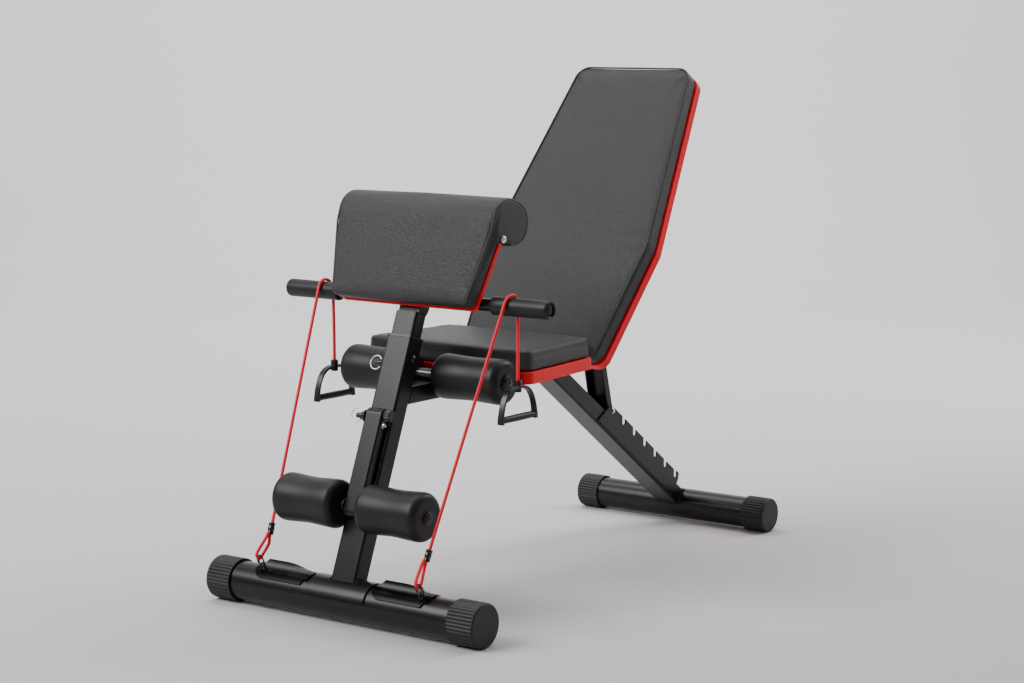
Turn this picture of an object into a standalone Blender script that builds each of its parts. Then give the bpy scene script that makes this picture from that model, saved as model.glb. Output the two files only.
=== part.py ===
"""Adjustable weight bench with a preacher pad, leg rollers and two elastic pull bands.

X runs across the bench, Y from the front foot to the rear foot, Z up; the floor is Z = 0
and X = 0 is the plane of symmetry. Pieces are laid out from the front foot's axis, and the
whole bench then moves by FRONT_TO_MIDDLE, so that the origin is on the floor at its middle.
All lengths are in metres.
"""
import math

import bmesh
import bpy
from mathutils import Vector

GAP = 0.0003
FRONT_TO_MIDDLE = 0.498

# front foot: a round tube across the bench with ribbed caps
FOOT_R = 0.033
FOOT_Z = 0.037
FOOT_HALF = 0.285
CAP_LEN = 0.053
CAP_R = 0.037

# rear foot
REAR_Y = 1.0
REAR_R = 0.0293
REAR_CAP_R = 0.033
REAR_HALF = 0.216
REAR_CAP_LEN = 0.048

# front post, leaning back; its frame has depth along y and length along z
POST_ORIGIN = (0.0, -0.0018, 0.10)
POST_TILT = math.radians(-21.39)
POST_HALF_W = 0.0257
POST_DEPTH = 0.0345
POST_WALL = 0.0025
POST_TOP = 0.3845

# inner tube of the preacher head
TUBE_HALF_W = 0.0225
TUBE_D0 = 0.0030
TUBE_D1 = 0.0315
TUBE_BOTTOM = 0.215
TUBE_TOP = 0.4300
HOLE_PITCH = 0.025
PIN_S = 0.340
PIN_D = 0.017

# roller hanger on the front of the post
HANGER_HALF_W = 0.0175
HANGER_D0 = -0.0193
HANGER_S0 = 0.074
HANGER_S1 = 0.2595
HANGER_WALL = 0.0022
LOWER_AXLE = (-0.0110, 0.0918)
LOWER_AXLE_R = 0.006
HANGER_PIN = (-0.0100, 0.2430)
KNOB = (-0.0118, 0.2475)
HANGER_BOLT = (-0.0100, 0.2312)

# preacher pad frame
PAD_ORIGIN = (0.0, 0.1317, 0.5220)
PAD_TILT = math.radians(-19.31)
PAD_HALF_LOW = 0.1442
PAD_HALF_HIGH = 0.1675
PAD_KINK = 0.127
PAD_THICK = 0.030
PAD_BOARD = (0.0303, 0.0383)

# handlebar, in the post's frame
BAR = (0.0197, 0.4562)
BAR_R = 0.0105
GRIP_R = 0.0155
GRIP_X0 = 0.165
BAR_HALF = 0.278

# seat beam and seat
BEAM_HALF_W = 0.025
BEAM_TOP = 0.376
BEAM_DEPTH = 0.030
SEAT_TOP = 0.434
SEAT_FOAM = 0.0362
SEAT_BOARD = 0.0205
SEAT_Y0 = 0.260
SEAT_Y1 = 0.475
SEAT_HALF_FRONT = 0.177
SEAT_HALF_BACK = 0.157

# upper axle and rollers
UPPER_AXLE = (0.214, 0.386)
UPPER_AXLE_R = 0.0095

# backrest frame
BACK_ORIGIN = (0.0, 0.4992, 0.4063)
BACK_TILT = math.radians(-34.82)
BACK_FOAM = 0.0347
BACK_BOARD = (0.0350, 0.0520)
BACK_KINK = 0.2194
BACK_TOP = 0.5926
BACK_BOTTOM = -0.012
HINGE = (0.557, 0.360)

# rear leg, sloping down to the rear foot; its frame has length along y and height along z
LEG_ORIGIN = (0.0, 0.45, 0.407)
LEG_TILT = math.radians(-35.48)
LEG_HALF_W = 0.0248
LEG_DEPTH = 0.033
LEG_START = 0.096
COMB_X = (0.0251, 0.0281)
NOTCHES = 7
NOTCH_PITCH = 0.04475
NOTCH_FIRST = 0.3218
NOTCH_Z = 0.0415
NOTCH_R = 0.0053
COMB_TOP = 0.0485

# strut behind the backrest
STRUT_PIVOT = (0.667, 0.535)
STRUT_PIN_R = 0.0045

# elastic bands
BAND_R = 0.0028

for item in list(bpy.data.objects):
    bpy.data.objects.remove(item, do_unlink=True)


# ---------------------------------------------------------------- materials
def material(name, colour, rough, metal=0.0):
    found = bpy.data.materials.get(name)
    if found:
        return found
    made = bpy.data.materials.new(name)
    made.use_nodes = True
    shader = made.node_tree.nodes["Principled BSDF"]
    shader.inputs["Base Color"].default_value = (*colour, 1.0)
    shader.inputs["Roughness"].default_value = rough
    shader.inputs["Metallic"].default_value = metal
    return made


POWDER = ("powder_black", (0.022, 0.022, 0.024), 0.42)
LEATHER = ("leatherette_black", (0.020, 0.020, 0.021), 0.48)
FOAM = ("foam_black", (0.018, 0.018, 0.018), 0.50)
RUBBER = ("cap_black", (0.024, 0.024, 0.025), 0.55)
RED = ("board_red", (0.72, 0.030, 0.035), 0.40)
ELASTIC = ("elastic_red", (0.78, 0.035, 0.040), 0.55)
STEEL = ("zinc_steel", (0.62, 0.62, 0.63), 0.28, 1.0)
WIRE = ("white_wire", (0.80, 0.80, 0.80), 0.30, 1.0)
PLASTIC = ("plastic_black", (0.018, 0.018, 0.019), 0.38)


# ---------------------------------------------------------------- helpers
def empty(name, loc, tilt=0.0):
    frame = bpy.data.objects.new(name, None)
    frame.location = loc
    frame.rotation_euler = (tilt, 0.0, 0.0)
    bpy.context.collection.objects.link(frame)
    return frame


def finish(bm, name, mat, parent=None, loc=(0.0, 0.0, 0.0), rot=(0.0, 0.0, 0.0), smooth=True):
    bmesh.ops.remove_doubles(bm, verts=bm.verts, dist=1e-6)
    bmesh.ops.recalc_face_normals(bm, faces=bm.faces)
    mesh = bpy.data.meshes.new(name)
    bm.to_mesh(mesh)
    bm.free()
    if smooth:
        mesh.shade_smooth()
        mesh.set_sharp_from_angle(angle=math.radians(35))
    piece = bpy.data.objects.new(name, mesh)
    piece.location = loc
    piece.rotation_euler = rot
    piece.parent = parent
    if mat:
        mesh.materials.append(material(*mat))
    bpy.context.collection.objects.link(piece)
    return piece


def cut(piece, cutter, mode="DIFFERENCE"):
    cutter.hide_render = True
    cutter.display_type = "WIRE"
    mod = piece.modifiers.new("bool_" + cutter.name, "BOOLEAN")
    mod.operation = mode
    mod.solver = "EXACT"
    mod.object = cutter
    return piece


def turned(name, profile, mat, closed=False, segments=24, axis="X", **place):
    """Revolve (along, radius) points; an open profile starts and ends on the axis."""
    bm = bmesh.new()
    points = [bm.verts.new((a, 0.0, r)) for a, r in profile]
    edges = [bm.edges.new(pair) for pair in zip(points, points[1:])]
    if closed:
        edges.append(bm.edges.new((points[-1], points[0])))
    bmesh.ops.spin(bm, geom=points + edges, cent=(0, 0, 0), axis=(1, 0, 0),
                   angle=math.tau, steps=segments, use_merge=True)
    if axis == "Z":
        bmesh.ops.rotate(bm, verts=bm.verts, cent=(0, 0, 0),
                         matrix=turn_matrix("Y", -90))
    if axis == "Y":
        bmesh.ops.rotate(bm, verts=bm.verts, cent=(0, 0, 0),
                         matrix=turn_matrix("Z", 90))
    return finish(bm, name, mat, **place)


def turn_matrix(axis, degrees):
    from mathutils import Matrix
    return Matrix.Rotation(math.radians(degrees), 3, axis)


def rod(name, x0, x1, radius, mat, segments=16, axis="X", **place):
    return turned(name, [(x0, 0.0), (x0, radius), (x1, radius), (x1, 0.0)], mat,
                  segments=segments, axis=axis, **place)


def pipe(name, x0, x1, outer, inner, mat, segments=24, axis="X", **place):
    ring = [(x0, inner), (x0, outer), (x1, outer), (x1, inner)]
    return turned(name, ring, mat, closed=True, segments=segments, axis=axis, **place)


def arc(cx, cy, r, a0, a1, steps):
    turn = [math.radians(a0 + (a1 - a0) * i / steps) for i in range(steps + 1)]
    return [(cx + r * math.cos(a), cy + r * math.sin(a)) for a in turn]


def rounded(corners, steps=5):
    """Polygon (x, y, radius) corners, each turned into an arc of the given radius."""
    out = []
    count = len(corners)
    for i, (x, y, r) in enumerate(corners):
        here = Vector((x, y))
        before = Vector(corners[i - 1][:2]) - here
        after = Vector(corners[(i + 1) % count][:2]) - here
        if r <= 0:
            out.append((x, y))
            continue
        half = before.angle(after) / 2
        reach = r / math.tan(half)
        start = here + before.normalized() * reach
        stop = here + after.normalized() * reach
        middle = here + (before.normalized() + after.normalized()).normalized() * (r / math.sin(half))
        for k in range(steps + 1):
            way = start.lerp(stop, k / steps) - middle
            point = middle + way.normalized() * r
            out.append((point.x, point.y))
    return out


def prism(name, outline, x0, x1, mat, rim=0.0, rim_steps=2, shape=None, **place):
    """Extrude a (y, z) outline along x; rim rounds the edges of both end faces."""
    bm = bmesh.new()
    base = bm.faces.new([bm.verts.new((x0, y, z)) for y, z in outline])
    grown = bmesh.ops.extrude_face_region(bm, geom=[base])
    moved = [v for v in grown["geom"] if isinstance(v, bmesh.types.BMVert)]
    bmesh.ops.translate(bm, verts=moved, vec=(x1 - x0, 0, 0))
    bmesh.ops.recalc_face_normals(bm, faces=bm.faces)
    if rim:
        ends = [e for e in bm.edges
                if abs(e.verts[0].co.x - e.verts[1].co.x) < 1e-7]
        bmesh.ops.bevel(bm, geom=ends, offset=rim, segments=rim_steps, profile=0.5,
                        affect="EDGES", clamp_overlap=True)
    if shape:
        for v in bm.verts:
            v.co = shape(v.co)
    return finish(bm, name, mat, **place)


def slab(name, outline, z0, z1, mat, rim_top=0.0, rim_low=0.0, steps=2, depth="Z", **place):
    """Extrude an (x, along) outline through its thickness, rounding either rim."""
    bm = bmesh.new()
    base = bm.faces.new([bm.verts.new((x, y, z0)) for x, y in outline])
    grown = bmesh.ops.extrude_face_region(bm, geom=[base])
    moved = [v for v in grown["geom"] if isinstance(v, bmesh.types.BMVert)]
    bmesh.ops.translate(bm, verts=moved, vec=(0, 0, z1 - z0))
    bmesh.ops.recalc_face_normals(bm, faces=bm.faces)
    for level, width in ((z1, rim_top), (z0, rim_low)):
        if width:
            rim = [e for e in bm.edges
                   if all(abs(v.co.z - level) < 1e-6 for v in e.verts)]
            bmesh.ops.bevel(bm, geom=rim, offset=width, segments=steps, profile=0.5,
                            affect="EDGES", clamp_overlap=True)
    if depth == "Y":
        for v in bm.verts:
            v.co = Vector((v.co.x, v.co.z, v.co.y))
    return finish(bm, name, mat, **place)


def box(name, x, y, z, mat=None, **place):
    bm = bmesh.new()
    bmesh.ops.create_cube(bm, size=1.0)
    for v in bm.verts:
        v.co = Vector((x[0] + (v.co.x + 0.5) * (x[1] - x[0]),
                       y[0] + (v.co.y + 0.5) * (y[1] - y[0]),
                       z[0] + (v.co.z + 0.5) * (z[1] - z[0])))
    return finish(bm, name, mat, smooth=False, **place)


def section(half_w, d0, d1, r, cuts):
    """Rounded rectangle in (x, depth), with extra points down both long sides."""
    ring = []
    ring += [(-half_w, d) for d in reversed(cuts)]
    ring += arc(-half_w + r, d0 + r, r, 180, 270, 3)
    ring += arc(half_w - r, d0 + r, r, 270, 360, 3)
    ring += [(half_w, d) for d in cuts]
    ring += arc(half_w - r, d1 - r, r, 0, 90, 3)
    ring += arc(-half_w + r, d1 - r, r, 90, 180, 3)
    return ring


def bar_tube(name, half_w, d0, d1, wall, start, stop, mat, cuts=(), along="Z", **place):
    """Rectangular tube whose two ends follow start(depth) and stop(depth)."""
    outer = section(half_w, d0, d1, 0.004, [c for c in cuts if d0 + 0.0045 < c < d1 - 0.0045])
    inner = section(half_w - wall, d0 + wall, d1 - wall, 0.002,
                    [c for c in cuts if d0 + 0.0045 < c < d1 - 0.0045])
    bm = bmesh.new()
    loops = []
    for ring, end in ((outer, start), (outer, stop), (inner, stop), (inner, start)):
        if along == "Z":
            loops.append([bm.verts.new((x, d, end(d))) for x, d in ring])
        else:
            loops.append([bm.verts.new((x, end(d), d)) for x, d in ring])
    for a in range(4):
        low, high = loops[a], loops[(a + 1) % 4]
        for i in range(len(low)):
            j = (i + 1) % len(low)
            bm.faces.new((low[i], low[j], high[j], high[i]))
    return finish(bm, name, mat, **place)


def cord(name, route, radius, mat, cyclic=False, resolution=2, **place):
    data = bpy.data.curves.new(name, "CURVE")
    data.dimensions = "3D"
    data.bevel_depth = radius
    data.bevel_resolution = resolution
    data.use_fill_caps = not cyclic
    line = data.splines.new("POLY")
    line.points.add(len(route) - 1)
    for point, co in zip(line.points, route):
        point.co = (*co, 1.0)
    line.use_cyclic_u = cyclic
    data.materials.append(material(*mat))
    piece = bpy.data.objects.new(name, data)
    piece.parent = place.get("parent")
    piece.location = place.get("loc", (0, 0, 0))
    bpy.context.collection.objects.link(piece)
    return piece


def post_point(x, d, s):
    c, n = math.cos(POST_TILT), math.sin(POST_TILT)
    return (x, POST_ORIGIN[1] + c * d - n * s, POST_ORIGIN[2] + n * d + c * s)


def ribbed_cap(name, x_in, x_out, outer, bore, side, y, z):
    """Cup over a tube's end, ribbed round its outside, closed by a flat disc."""
    ribs = 18
    count = ribs * 2
    levels = ((x_out - 0.006, bore, False), (x_in, bore, False), (x_in, outer, True),
              (x_out - 0.0035, outer, True), (x_out, outer - 0.0025, False))
    bm = bmesh.new()
    loops = []
    for along, radius, rib in levels:
        loop = []
        for i in range(count):
            turn = math.tau * (i / count - 0.25)
            r = radius - (0.0009 if rib and i % 2 else 0.0)
            loop.append(bm.verts.new((along * side, r * math.cos(turn), r * math.sin(turn))))
        loops.append(loop)
    for low, high in zip(loops, loops[1:]):
        for i in range(count):
            j = (i + 1) % count
            bm.faces.new((low[i], low[j], high[j], high[i]))
    bm.faces.new(loops[0])
    bm.faces.new(loops[-1])
    return finish(bm, name, RUBBER, loc=(0, y, z), smooth=False)


# ---------------------------------------------------------------- front foot
pipe("front_foot_tube", -FOOT_HALF + 0.0065, FOOT_HALF - 0.0065, FOOT_R, FOOT_R - 0.002, POWDER,
     segments=28, loc=(0, 0, FOOT_Z))
for tag, side in (("R", 1), ("L", -1)):
    ribbed_cap("front_cap_" + tag, FOOT_HALF - CAP_LEN, FOOT_HALF, CAP_R, FOOT_R + GAP, side,
               0.0, FOOT_Z)

saddle_r = FOOT_R + GAP
saddle_t = 0.003
saddle_outline = (arc(0, 0, saddle_r + saddle_t, 165, 25, 14) + arc(0, 0, saddle_r, 25, 165, 14))
prism("front_saddle", saddle_outline, -0.061, 0.061, POWDER, loc=(0, 0, FOOT_Z))

# dished foot plates: they hug the tube in front and rise clear of it behind
plate_r = FOOT_R + GAP
plate_t = 0.0025
lift = arc(0.0, plate_r + 0.040, 0.040, -90, -62, 5)[1:]
plate_out = arc(0, 0, plate_r + plate_t, 146, 90, 9)
plate_in = arc(0, 0, plate_r, 146, 90, 9)
rise_in = [(y, z) for y, z in lift]
rise_out = [(y, z) for y, z in arc(0.0, plate_r + 0.040, 0.040 - plate_t, -90, -62, 5)[1:]]
plate_outline = plate_out + rise_out + list(reversed(rise_in)) + list(reversed(plate_in))
for tag, side in (("R", 1), ("L", -1)):
    plate = prism("foot_plate_" + tag, plate_outline, 0.068 * side, 0.186 * side, POWDER,
                  loc=(0, 0, FOOT_Z))
    eye_way = math.radians(90 + 27)
    eye_reach = plate_r + plate_t + 0.0048
    ring = [(0.0015 * math.cos(math.tau * i / 6), 0.006 + 0.0015 * math.sin(math.tau * i / 6))
            for i in range(6)]
    eye = turned("cut_eye_" + tag, ring, None, closed=True, segments=14,
                 loc=(0.170 * side, eye_reach * math.cos(eye_way),
                      FOOT_Z + eye_reach * math.sin(eye_way)))
    cut(plate, eye, "UNION")

# ---------------------------------------------------------------- front post
post = empty("post_frame", POST_ORIGIN, POST_TILT)


def post_foot(d):
    """Where the post meets the saddle: a cope of the saddle's outer radius."""
    c, n = math.cos(POST_TILT), math.sin(POST_TILT)
    cy, cz = -POST_ORIGIN[1], FOOT_Z - POST_ORIGIN[2]
    axle_d = c * cy + n * cz
    axle_s = -n * cy + c * cz
    r = saddle_r + saddle_t + GAP
    return axle_s + math.sqrt(max(r * r - (d - axle_d) ** 2, 0.0))


post_cuts = [0.006 + 0.0045 * i for i in range(6)]
main_post = bar_tube("post", POST_HALF_W, 0.0, POST_DEPTH, POST_WALL, post_foot,
                     lambda d: POST_TOP, POWDER, cuts=post_cuts, parent=post)
post_hole = rod("cut_post_hole", -0.030, -0.018, 0.0040, None, segments=16, parent=post,
                loc=(0, PIN_D, PIN_S))
cut(main_post, post_hole)
bush = bar_tube("post_bush", POST_HALF_W + 0.0008, -0.0008, POST_DEPTH + 0.0008, 0.0033,
                lambda d: POST_TOP + GAP, lambda d: POST_TOP + 0.0075, PLASTIC, parent=post)

# rail the hanger rides on, with the stop holes its pin drops into
rail = box("carriage_rail", (-0.0148, 0.0148), (-0.0145, -GAP), (0.135, 0.257), POWDER, parent=post)
for i in range(3):
    hole = rod("cut_rail_%d" % i, -0.020, -0.006, 0.0040, None, segments=10, parent=post,
               loc=(0, HANGER_PIN[0], HANGER_PIN[1] - 0.03 * i))
    cut(rail, hole)

# ---------------------------------------------------------------- roller hanger
hanger_outline = rounded([(HANGER_D0, HANGER_S0, 0.008), (-GAP, HANGER_S0, 0.003),
                          (-GAP, HANGER_S1, 0.003), (HANGER_D0, HANGER_S1, 0.009)], 4)
hanger = prism("roller_hanger", hanger_outline, -HANGER_HALF_W, HANGER_HALF_W, POWDER, parent=post)
inside = HANGER_HALF_W - HANGER_WALL
hollow = box("cut_hanger_hollow", (-inside, inside), (HANGER_D0 + 0.002, 0.02),
             (HANGER_S0 - 0.02, 0.2570), parent=post)
cut(hanger, hollow)
mouth = box("cut_hanger_mouth", (-inside, inside), (-0.0151, 0.02),
            (HANGER_S0 + 0.02, HANGER_S1 + 0.02), parent=post)
cut(hanger, mouth)
for tag, at, x0, x1, r in (("axle", LOWER_AXLE, -0.03, 0.03, LOWER_AXLE_R + GAP),
                           ("pin", HANGER_PIN, -0.03, -0.012, 0.0040),
                           ("stud", KNOB, 0.012, 0.03, 0.0033),
                           ("bolt", HANGER_BOLT, 0.012, 0.03, 0.0033)):
    cut(hanger, rod("cut_hanger_" + tag, x0, x1, r, None, segments=14, parent=post,
                    loc=(0, at[0], at[1])))

axle_end = 0.1528
turned("lower_axle", [(-0.1568, 0.0), (-0.1560, 0.0040), (-0.1534, 0.0058), (-axle_end, LOWER_AXLE_R),
                      (axle_end, LOWER_AXLE_R), (0.1534, 0.0058), (0.1560, 0.0040), (0.1568, 0.0)],
       STEEL, segments=20, parent=post, loc=(0, LOWER_AXLE[0], LOWER_AXLE[1]))


def roller(name, x0, x1, big, waist, bore, side, **place):
    """Foam roller, fuller at both ends than in the middle, with rounded rims."""
    length = x1 - x0
    profile = [(x0, bore), (x0, big - 0.010)]
    profile += [(x0 + 0.009 + 0.009 * math.cos(a), big - 0.009 + 0.009 * math.sin(a))
                for a in (math.radians(t) for t in (150, 120, 92))]
    for k in (0.25, 0.5, 0.75):
        swell = (math.cos(math.tau * k) + 1) / 2
        profile.append((x0 + length * k, waist + (big - waist) * swell))
    profile += [(x1 - 0.009 + 0.009 * math.cos(a), big - 0.009 + 0.009 * math.sin(a))
                for a in (math.radians(t) for t in (88, 60, 30))]
    profile += [(x1, big - 0.010), (x1, bore)]
    flipped = [(a * side, r) for a, r in profile]
    return turned(name, flipped, FOAM, closed=True, segments=24, **place)


for tag, side in (("R", 1), ("L", -1)):
    roller("lower_roller_" + tag, 0.026, 0.1525, 0.0405, 0.0378, LOWER_AXLE_R + GAP, side,
           parent=post, loc=(0, LOWER_AXLE[0], LOWER_AXLE[1]))

# clamp knob, its stud and the plated bolt under it
knob_profile = [(0.0156, 0.0), (0.0156, 0.0030), (0.0215, 0.0030), (0.0215, 0.0080), (0.0230, 0.0105),
                (0.0335, 0.0105), (0.0350, 0.0085), (0.0350, 0.0)]
turned("clamp_knob", knob_profile, PLASTIC, segments=24, parent=post, loc=(0, KNOB[0], KNOB[1]))
turned("hanger_bolt", [(0.0156, 0.0), (0.0156, 0.0030), (0.0179, 0.0030), (0.0179, 0.0045),
                       (0.0215, 0.0045), (0.0235, 0.0030), (0.0240, 0.0)], STEEL, segments=16,
       parent=post, loc=(0, HANGER_BOLT[0], HANGER_BOLT[1]))


def pull_pin(stem, face_x, nose_x, d, s):
    """Threaded boss on the tube's left side, the sprung pin in it and its wire ring."""
    pipe(stem + "_boss", face_x - 0.0105, face_x - GAP, 0.0085, 0.0041, PLASTIC, segments=20,
         parent=post, loc=(0, d, s))
    head = face_x - 0.0225
    grip = face_x - 0.0112
    pin = turned(stem, [(nose_x, 0.0), (nose_x, 0.0036), (grip, 0.0036), (grip, 0.0062),
                        (grip - 0.003, 0.0062), (grip - 0.003, 0.0045), (head, 0.0045),
                        (head - 0.001, 0.0035), (head - 0.001, 0.0)], STEEL, segments=20,
                 parent=post, loc=(0, d, s))
    eye_x = head + 0.0040
    cut(pin, rod("cut_" + stem, -0.012, 0.012, 0.0025, None, segments=16, axis="Z", parent=post,
                 loc=(eye_x, d, s)))
    circle = [(0.0010 * math.cos(math.tau * i / 5), 0.0117 + 0.0010 * math.sin(math.tau * i / 5))
              for i in range(5)]
    turned(stem + "_ring", circle, WIRE, closed=True, segments=20, axis="Y", parent=post,
           loc=(eye_x - 0.0113, d, s), rot=(0, 0, 0))


pull_pin("hanger_pin", -HANGER_HALF_W, -0.0152, HANGER_PIN[0], HANGER_PIN[1])
pull_pin("post_pin", -POST_HALF_W, -0.0231, PIN_D, PIN_S)

# ---------------------------------------------------------------- preacher head
pad_tube = bar_tube("pad_tube", TUBE_HALF_W, TUBE_D0, TUBE_D1, 0.002, lambda d: TUBE_BOTTOM,
                    lambda d: TUBE_TOP, POWDER, parent=post)
for i in range(6):
    cut(pad_tube, rod("cut_tube_%d" % i, -0.030, -0.015, 0.0040, None, segments=10, parent=post,
                      loc=(0, PIN_D, PIN_S + HOLE_PITCH * (1 - i))))

bracket_outline = [(0.0100, TUBE_TOP + 0.0005), (0.0315, TUBE_TOP + 0.0005), (0.0345, 0.4400),
                   (0.0345, 0.4750), (0.0200, 0.5000), (0.0075, 0.5000)]
bracket = prism("pad_bracket", bracket_outline, -0.0225, 0.0225, POWDER, parent=post)
cut(bracket, rod("cut_bracket_bore", -0.04, 0.04, BAR_R + GAP, None, segments=32, parent=post,
                 loc=(0, BAR[0], BAR[1])))

pipe("handlebar", -0.270, 0.270, BAR_R, BAR_R - 0.0015, POWDER, segments=24, parent=post,
     loc=(0, BAR[0], BAR[1]))
for tag, side in (("R", 1), ("L", -1)):
    grip_profile = [(0.2705, 0.0), (0.2705, BAR_R + GAP), (GRIP_X0, BAR_R + GAP),
                    (GRIP_X0, GRIP_R - 0.0015), (GRIP_X0 + 0.0015, GRIP_R), (0.2760, GRIP_R),
                    (BAR_HALF, GRIP_R - 0.002), (BAR_HALF, 0.0105), (0.2745, 0.0090), (0.2745, 0.0)]
    turned("bar_grip_" + tag, [(a * side, r) for a, r in grip_profile], FOAM, segments=24,
           parent=post, loc=(0, BAR[0], BAR[1]))

pad = empty("pad_frame", PAD_ORIGIN, PAD_TILT)


def pad_half(t):
    low, high = PAD_HALF_LOW, PAD_HALF_HIGH
    return low + (high - low) * min(t / PAD_KINK, 1.0)


board_outline = rounded([(-pad_half(-0.012) + 0.002, -0.012, 0.008), (pad_half(-0.012) - 0.002, -0.012, 0.008),
                         (pad_half(0.114) - 0.002, 0.114, 0.004), (-pad_half(0.114) + 0.002, 0.114, 0.004)])
slab("preacher_board", board_outline, PAD_BOARD[0], PAD_BOARD[1], RED, depth="Y", parent=pad)

pad_outline = arc(0.010, 0.009, 0.010, 180, 270, 4)
pad_outline += arc(PAD_THICK - 0.006, 0.005, 0.006, 270, 360, 3)
pad_outline += [(PAD_THICK, 0.060), (PAD_THICK, 0.1145), (0.0400, 0.1150)]
pad_outline += arc(0.0587, 0.154, 0.038, -90, 90, 9)
pad_outline += arc(0.044, 0.148, 0.044, 90, 180, 5)
pad_outline += [(0.0, 0.090), (0.0, 0.050)]
prism("preacher_cushion", pad_outline, -PAD_HALF_HIGH, PAD_HALF_HIGH, LEATHER, rim=0.007, rim_steps=2,
      shape=lambda co: Vector((co.x * pad_half(co.z) / PAD_HALF_HIGH, co.y, co.z)), parent=pad)

# ---------------------------------------------------------------- seat beam, axle and rollers
beam = empty("beam_frame", (0.0, 0.0, BEAM_TOP), math.radians(-90))


def post_back(depth):
    z = BEAM_TOP - depth
    c, n = math.cos(POST_TILT), math.sin(POST_TILT)
    s = (z - POST_ORIGIN[2] - n * POST_DEPTH) / c
    return POST_ORIGIN[1] + c * POST_DEPTH - n * s + 0.0004


def beam_end(depth):
    steps = ((0.0, 0.5190), (0.0123, 0.5362), (0.0245, 0.5275), (0.0300, 0.5350))
    for (d0, y0), (d1, y1) in zip(steps, steps[1:]):
        if depth <= d1:
            return y0 + (y1 - y0) * (depth - d0) / (d1 - d0)
    return steps[-1][1]


bar_tube("seat_beam", BEAM_HALF_W, 0.0, BEAM_DEPTH, 0.002, post_back, beam_end, POWDER,
         cuts=(0.0123, 0.0245), parent=beam)
turned("upper_axle", [(-0.1720, 0.0), (-0.1712, 0.0045), (-0.1685, 0.0065), (-0.1678, UPPER_AXLE_R),
                      (0.1678, UPPER_AXLE_R), (0.1685, 0.0065), (0.1712, 0.0045), (0.1720, 0.0)],
       STEEL, segments=24, loc=(0, *UPPER_AXLE))
for tag, side in (("R", 1), ("L", -1)):
    roller("upper_roller_" + tag, 0.030, 0.1675, 0.0382, 0.0366, UPPER_AXLE_R + GAP, side,
           loc=(0, *UPPER_AXLE))

# ---------------------------------------------------------------- seat
def seat_outline(grow, front, back):
    return rounded([(-SEAT_HALF_BACK - grow, SEAT_Y1 + back, 0.022), (-SEAT_HALF_FRONT - grow, SEAT_Y0 - front, 0.030),
                    (SEAT_HALF_FRONT + grow, SEAT_Y0 - front, 0.030), (SEAT_HALF_BACK + grow, SEAT_Y1 + back, 0.022)], 4)


board_top = SEAT_TOP - SEAT_FOAM - GAP
slab("seat_board", seat_outline(0.003, 0.003, 0.002), board_top - SEAT_BOARD, board_top, RED)
slab("seat_cushion", seat_outline(0.0, 0.0, 0.0), SEAT_TOP - SEAT_FOAM, SEAT_TOP, LEATHER,
     rim_top=0.010, rim_low=0.003)

# ---------------------------------------------------------------- backrest
back = empty("back_frame_origin", BACK_ORIGIN, BACK_TILT)
back_c, back_n = math.cos(BACK_TILT), math.sin(BACK_TILT)


def in_back(y, z):
    dy, dz = y - BACK_ORIGIN[1], z - BACK_ORIGIN[2]
    return back_c * dy + back_n * dz, -back_n * dy + back_c * dz


hinge_e, hinge_t = in_back(*HINGE)
pivot_e, pivot_t = in_back(*STRUT_PIVOT)


def back_outline(grow):
    return rounded([(-0.1448 - grow, BACK_BOTTOM - grow * 0.3, 0.020), (0.1448 + grow, BACK_BOTTOM - grow * 0.3, 0.020),
                    (0.1707 + grow, BACK_KINK, 0.060), (0.1227 + grow, BACK_TOP + grow * 0.3, 0.026),
                    (-0.1227 - grow, BACK_TOP + grow * 0.3, 0.026), (-0.1707 - grow, BACK_KINK, 0.060)], 4)


slab("back_board", back_outline(0.004), BACK_BOARD[0], BACK_BOARD[1], RED, depth="Y", parent=back)
slab("back_cushion", back_outline(0.0), 0.0, BACK_FOAM, LEATHER, rim_top=0.003, rim_low=0.010,
     depth="Y", parent=back)

rail_e = BACK_BOARD[1] + GAP
frame_outline = [(rail_e, 0.500), (rail_e, 0.004)]
frame_outline += arc(hinge_e, hinge_t, 0.013, 200, 360, 8)
frame_outline += [(hinge_e + 0.013, 0.030), (rail_e + 0.021, 0.060), (rail_e + 0.021, 0.240),
                  (rail_e + 0.012, 0.262), (rail_e + 0.012, 0.500)]
back_frame = prism("back_frame", frame_outline, -0.0305, 0.0305, POWDER, parent=back)
well = prism("cut_frame_well", [(0.03, -0.1), (0.2, -0.1), (0.2, 0.7), (rail_e + 0.002, 0.7),
                                (rail_e + 0.002, 0.034), (0.03, 0.034)], -0.0256, 0.0256, None, parent=back)
cut(back_frame, well)
cut(back_frame, rod("cut_frame_hinge", -0.05, 0.05, 0.0063, None, segments=20, parent=back,
                    loc=(0, hinge_e, hinge_t)))
cut(back_frame, rod("cut_frame_pivot", -0.05, 0.05, STRUT_PIN_R + GAP, None, segments=20,
                    parent=back, loc=(0, pivot_e, pivot_t)))
turned("hinge_pin", [(-0.0350, 0.0), (-0.0350, 0.0085), (-0.0308, 0.0100), (-0.0308, 0.0060),
                     (0.0308, 0.0060), (0.0308, 0.0100), (0.0350, 0.0085), (0.0350, 0.0)], STEEL,
       segments=24, loc=(0, *HINGE))

# ---------------------------------------------------------------- rear leg, combs and foot
leg = empty("leg_frame", LEG_ORIGIN, LEG_TILT)
leg_c, leg_n = math.cos(LEG_TILT), math.sin(LEG_TILT)


def in_leg(y, z):
    dy, dz = y - LEG_ORIGIN[1], z - LEG_ORIGIN[2]
    return leg_c * dy + leg_n * dz, -leg_n * dy + leg_c * dz


def from_leg(a, h):
    return LEG_ORIGIN[1] + leg_c * a - leg_n * h, LEG_ORIGIN[2] + leg_n * a + leg_c * h


foot_a, foot_h = in_leg(REAR_Y, REAR_CAP_R)
hinge_a, hinge_h = in_leg(*HINGE)


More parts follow.
